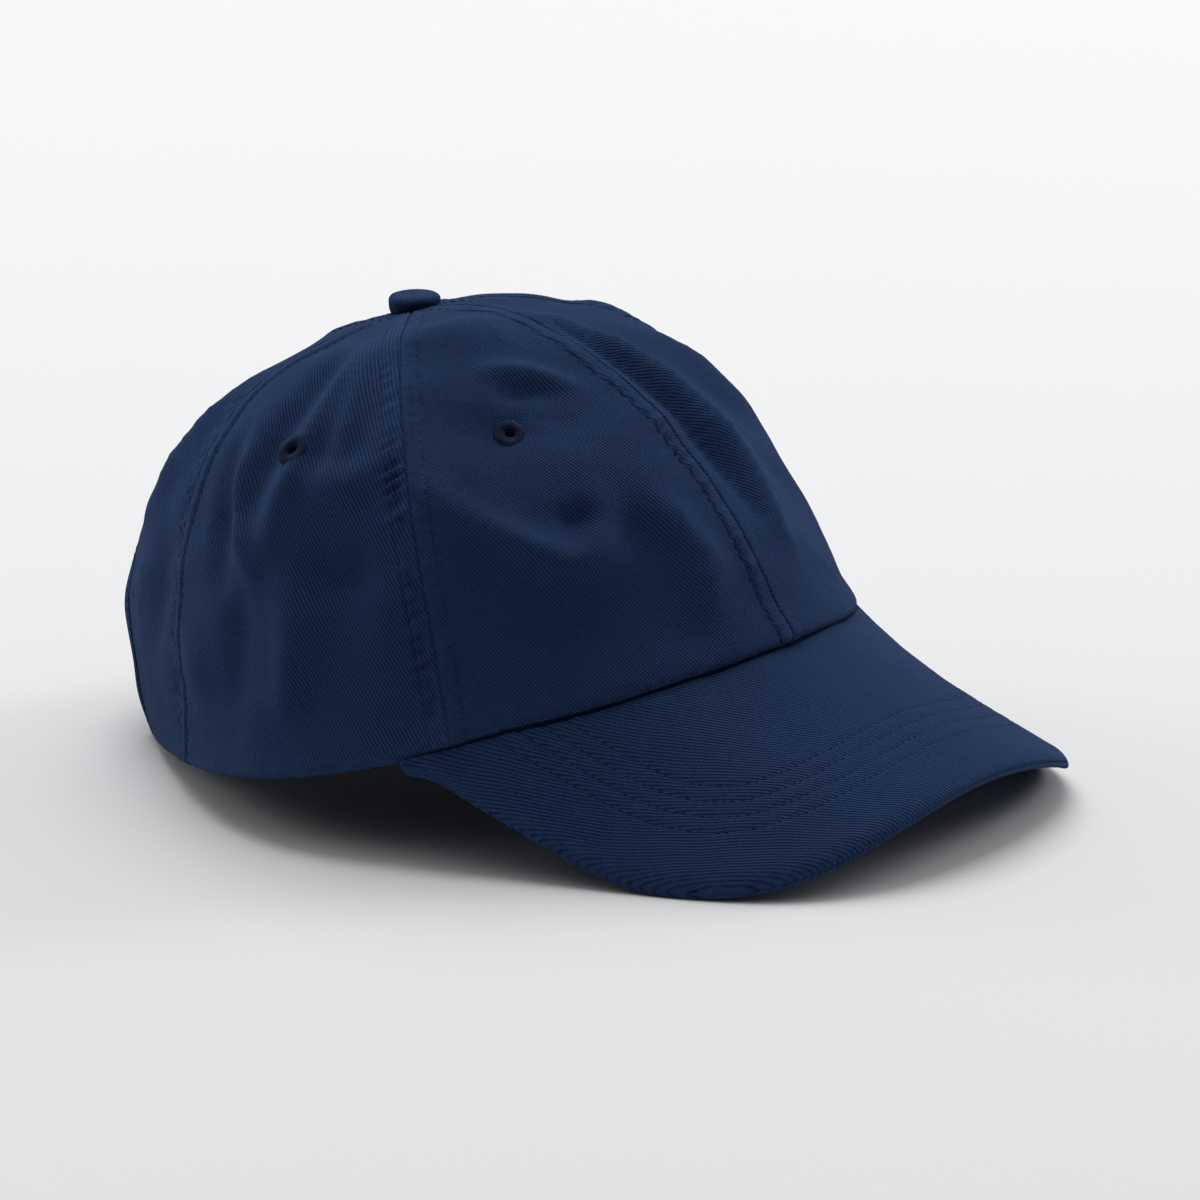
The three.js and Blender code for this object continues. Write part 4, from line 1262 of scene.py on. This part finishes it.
def peak_cover_mesh(sign):
    """A cover's mesh with its weave and wear; sign is 1 for the top one and -1 for the under one."""
    u = np.linspace(-PEAK_END_WRAP, 1 + PEAK_END_WRAP, PEAK_COLUMNS)[None]
    v = 1 - (1 - np.linspace(0, 1, PEAK_GRID_ROWS)[:, None]) ** 1.12
    u, v = np.broadcast_arrays(u, v)
    middle = peak_point(u, v, 0 * u)
    distance = rim_distance(u, middle)
    span = np.linalg.norm(middle[-1] - middle[0], axis=-1)
    rounding = np.minimum(RIM_ROUND, 0.45 * span)
    shoulder = np.sqrt(1 - (1 - np.clip(distance / rounding, 0, 1)) ** 2)
    shoulder[-1] = 0
    relief = peak_row_relief(distance) + peak_swell(middle) * smoothstep(distance, 0.5, 8)
    from_end = np.minimum(u, 1 - u)
    full = smoothstep(from_end, 0, 0.05)
    shoulder = shoulder * smoothstep(from_end, -PEAK_END_WRAP, -0.2 * PEAK_END_WRAP)
    outer = peak_point(u, v, sign * (0.01 + (PEAK_HALF - 0.01) * shoulder + relief * full))
    v_inner = v * (1 - np.minimum(0.7 / span, 0.2))
    inner_distance = rim_distance(u, peak_point(u, v_inner, 0 * u))
    inner_share = np.clip((inner_distance - 0.5) / (rounding - 0.5), 0, 1)
    inner_shoulder = np.sqrt(1 - (1 - inner_share) ** 2)
    inner_shoulder = inner_shoulder * smoothstep(from_end, -0.7 * PEAK_END_WRAP, -0.1 * PEAK_END_WRAP)
    inner = peak_point(u, v_inner, sign * (0.005 + (PEAK_HALF - PEAK_COVER) * inner_shoulder * 0.98))
    vertices, faces = shell_mesh(outer, inner)
    if sign > 0:
        faces = faces[:, ::-1]
    weave = turned_weave(*peak_flat(middle), PEAK_WALE_ANGLE)
    wear = 0.8 * bell(distance - 1.2, 1.6) + 0.15 * bell(distance - PEAK_ROWS[1], 8)
    return vertices, faces, weave, wear


for name, sign in (("peak_top_cover", 1), ("peak_under_cover", -1)):
    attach(finish_piece(make_piece(name, *peak_cover_mesh(sign)), "navy_twill", [name]), "peak")


def peak_board_mesh():
    """The stiff sheet between the covers, clear of their rim and ends."""
    u = np.linspace(BOARD_END, 1 - BOARD_END, PEAK_COLUMNS)[None]
    span = np.linalg.norm(peak_point(u, 1, 0) - peak_point(u, 0, 0), axis=-1)
    v = np.linspace(0, 1, BOARD_ROWS)[:, None] * np.maximum(0.5, 1 - BOARD_INSET / span)
    return shell_mesh(peak_point(u, v, -BOARD_HALF), peak_point(u, v, BOARD_HALF))


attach(finish_piece(make_piece("peak_board", *peak_board_mesh()), "board_plastic", ["peak_board"]), "peak")


def peak_stitch_lines(sign):
    u, v = np.meshgrid(np.linspace(0, 1, 500), np.linspace(0, 1, 160), indexing="ij")
    distance = rim_distance(u, peak_point(u, v, 0 * u))
    for row in PEAK_ROWS:
        reached = np.flatnonzero(distance[:, 0] > row)
        here = np.array([np.interp(-row, -distance[k], v[k]) for k in reached])
        along = u[reached, 0]
        middle = peak_point(along, here, 0 * along)
        relief = PEAK_HALF + peak_row_relief(np.full(along.shape, row)) + peak_swell(middle)
        line = peak_point(along, here, sign * relief)
        normal = unit(line - middle)
        yield line, normal


for name, sign in (("peak_topstitching", 1), ("peak_under_stitching", -1)):
    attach(stitching(name, list(peak_stitch_lines(sign)), PEAK_STITCH), "peak")


# ---------- Strap ----------

STRAP_ROW = 2  # from the strap's edge to its stitches
STRAP_WALE_ANGLE = -40


def strap_point(degrees, height, out):
    degrees, height, out = np.broadcast_arrays(degrees, height, out)
    radius, angle = STRAP_RADIUS + out, np.radians(degrees)
    return np.stack([radius * np.sin(angle), STRAP_AXIS_Y + radius * np.cos(angle), height], -1)


def strap_puff(degrees, height, seed):
    """Random unevenness of a strap's outer face."""
    return 0.1 * ripple(np.stack(np.broadcast_arrays(degrees * 1.06, height, 0 * degrees), -1), 9, seed)


def make_strap(name, reach, rise, out, cloth, body, seed):
    """A folded strap with rounded edges and a row of stitches along each of them."""
    degrees = np.linspace(*reach, 160)[None]
    share = (1 - np.cos(np.linspace(0, np.pi, 40)))[:, None] / 2
    width = rise[1] - rise[0]
    height = rise[0] + share * width
    edge = np.minimum(share, 1 - share) * width
    round_edge = 0.5 * cloth * (1 - np.sqrt(1 - (1 - np.clip(edge / 0.5, 0, 1)) ** 2)) * 0.9
    row = 0.16 * bell(edge - STRAP_ROW, 0.5)
    puff = strap_puff(degrees, height, seed)
    outer = strap_point(degrees, height, out - round_edge - row + puff * smoothstep(edge, 0, 3))
    inner = strap_point(degrees, height, out - cloth + round_edge)
    vertices, faces = shell_mesh(outer, inner)
    arc, height = np.broadcast_arrays(degrees * np.radians(1) * STRAP_RADIUS, height)
    wear = np.broadcast_to(0.7 * bell(edge, 0.7), puff.shape)
    piece = make_piece(name, vertices, faces[:, ::-1], turned_weave(arc, height, STRAP_WALE_ANGLE), wear)
    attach(finish_piece(piece, "navy_twill", [name]), body)
    rows = []
    line = np.linspace(reach[0] + 0.5, reach[1] - 0.5, 400)
    for at in (rise[0] + STRAP_ROW, rise[1] - STRAP_ROW):
        line_out = out - 0.12 + 0.7 * strap_puff(line, at, seed)
        normal = strap_point(line, 0, 1) - strap_point(line, 0, 0)
        rows.append((strap_point(line, at, line_out), unit(normal)))
    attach(stitching(name + "_stitching", rows, PEAK_STITCH), body)


STRAP_TOP = STRAP_BOTTOM + STRAP_WIDTH
TAB_MARGIN = 1  # how much lower and higher than the tab the strap reaches
TAB_RISE = (STRAP_BOTTOM + TAB_MARGIN, STRAP_TOP - TAB_MARGIN)

make_strap("size_strap", STRAP_REACH, (STRAP_BOTTOM, STRAP_TOP), 0, STRAP_CLOTH, "strap", SEED + 30)
make_strap("clasp_tab", TAB_REACH, TAB_RISE, TAB_OUT, TAB_CLOTH, "crown", SEED + 31)


# ---------- CAD pieces that keep their shape ----------

for name, slot in (
    ("button_core", "plated_steel"),
    ("button_washer", "plated_steel"),
    ("clasp_pin", "plated_steel"),
    ("clasp_frame", "clasp_brass"),
    ("clasp_lever", "clasp_brass"),
):
    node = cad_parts[name]
    node.data.materials.clear()
    node.data.materials.append(MATERIALS[slot])

# ---------- Studio ----------

CAMERA_AIM = (WEARER_ORIGIN + (0, -20.693, 49.717)) * MM
CAMERA_DISTANCE = 2.5924
CAMERA_AZIMUTH = -53.136
CAMERA_ELEVATION = 15.653
CAMERA_ROLL = -0.663
CAMERA_LENS = 304.54
CAMERA_SHIFT = (0.03837, -0.08646)
FLOOR_SIZE = 24.0
SKY = (0.045, 0.75)  # strength of the studio's light from the viewer's side, and from above and behind
LAMPS = (  # name, direction, distance, size in metres, watts
    ("overhead", (-0.1, 1.0, -0.5), 3.0, 2.4, 58),
    ("rear_left", (-1.0, 0.35, -0.5), 2.6, 0.9, 10),
    ("rear_right", (1.0, 0.5, -0.6), 2.6, 0.9, 17),
)


def camera_axes():
    az, el, roll = np.radians((CAMERA_AZIMUTH, CAMERA_ELEVATION, CAMERA_ROLL))
    back = np.array([np.sin(az) * np.cos(el), -np.cos(az) * np.cos(el), np.sin(el)])
    level = np.array([np.cos(az), np.sin(az), 0])
    upright = np.cross(back, level)
    right = level * np.cos(roll) + upright * np.sin(roll)
    up = upright * np.cos(roll) - level * np.sin(roll)
    return right, up, back


def put(thing, right, up, back, location):
    """Turn and move a camera or lamp, which both look along -back."""
    matrix = np.eye(4)
    matrix[:3, :3] = np.stack([right, up, back], -1)
    matrix[:3, 3] = location
    thing.matrix_world = Matrix(matrix.tolist())


def make_camera():
    data = bpy.data.cameras.new("camera")
    data.lens = CAMERA_LENS
    data.sensor_width = 36
    data.shift_x, data.shift_y = CAMERA_SHIFT
    data.clip_end = 100
    camera = bpy.data.objects.new("camera", data)
    bpy.context.scene.collection.objects.link(camera)
    right, up, back = camera_axes()
    put(camera, right, up, back, CAMERA_AIM + back * CAMERA_DISTANCE)
    bpy.context.scene.camera = camera


def softbox(name, direction, distance, size, power):
    """A square lamp that lights the cap from a direction: (picture right, up, towards the viewer)."""
    right, _, back = camera_axes()
    level = np.array([1, 1, 0])
    upwards = np.array([0, 0, 1])
    offset = unit(direction[0] * right * level + direction[1] * upwards + direction[2] * unit(back * level))
    data = bpy.data.lights.new(name, "AREA")
    data.shape = "SQUARE"
    data.size = size
    data.energy = power
    lamp = bpy.data.objects.new(name, data)
    bpy.context.scene.collection.objects.link(lamp)
    side = unit(np.cross((0.01, 1, 0.02), offset))
    put(lamp, side, np.cross(offset, side), offset, CAMERA_AIM + offset * distance)


def make_floor():
    half = FLOOR_SIZE / 2
    corners = [(-half, -half, 0), (half, -half, 0), (half, half, 0), (-half, half, 0)]
    floor = make_piece("floor", np.array(corners), np.array([[0, 1, 2, 3]]), in_row=False)
    g = Graph("floor_paper")
    grain = g.noise(g.place(), 900.0, 3)
    g.finish(
        Base_Color=g.blend(grain, colour((0.78, 0.78, 0.785)), colour((0.82, 0.82, 0.82))),
        Roughness=0.85,
        Normal=g.bump(grain, 0.02 * MM),
        Specular_IOR_Level=0.2,
    )
    floor.data.materials.append(g.material)


def make_studio():
    world = bpy.data.worlds.new("studio")
    world.use_nodes = True
    tree = world.node_tree
    background = tree.nodes["Background"]
    background.inputs["Color"].default_value = colour((0.97, 0.98, 1.0))
    _, _, back = camera_axes()
    towards = tree.nodes.new("ShaderNodeVectorMath")
    towards.operation = "DOT_PRODUCT"
    towards.inputs[1].default_value = unit(np.array([0, 0, 0.9]) - 0.7 * unit(back * (1, 1, 0)))
    tree.links.new(tree.nodes.new("ShaderNodeTexCoord").outputs["Generated"], towards.inputs[0])
    ceiling = tree.nodes.new("ShaderNodeMapRange")
    ceiling.inputs["From Min"].default_value = 0.0
    ceiling.inputs["From Max"].default_value = 1.0
    ceiling.inputs["To Min"].default_value = SKY[0]
    ceiling.inputs["To Max"].default_value = SKY[1]
    tree.links.new(towards.outputs["Value"], ceiling.inputs["Value"])
    tree.links.new(ceiling.outputs["Result"], background.inputs["Strength"])
    bpy.context.scene.world = world
    for lamp in LAMPS:
        softbox(*lamp)
    bpy.context.scene.view_settings.view_transform = "Standard"


make_floor()
make_camera()
make_studio()

bpy.context.view_layer.update()
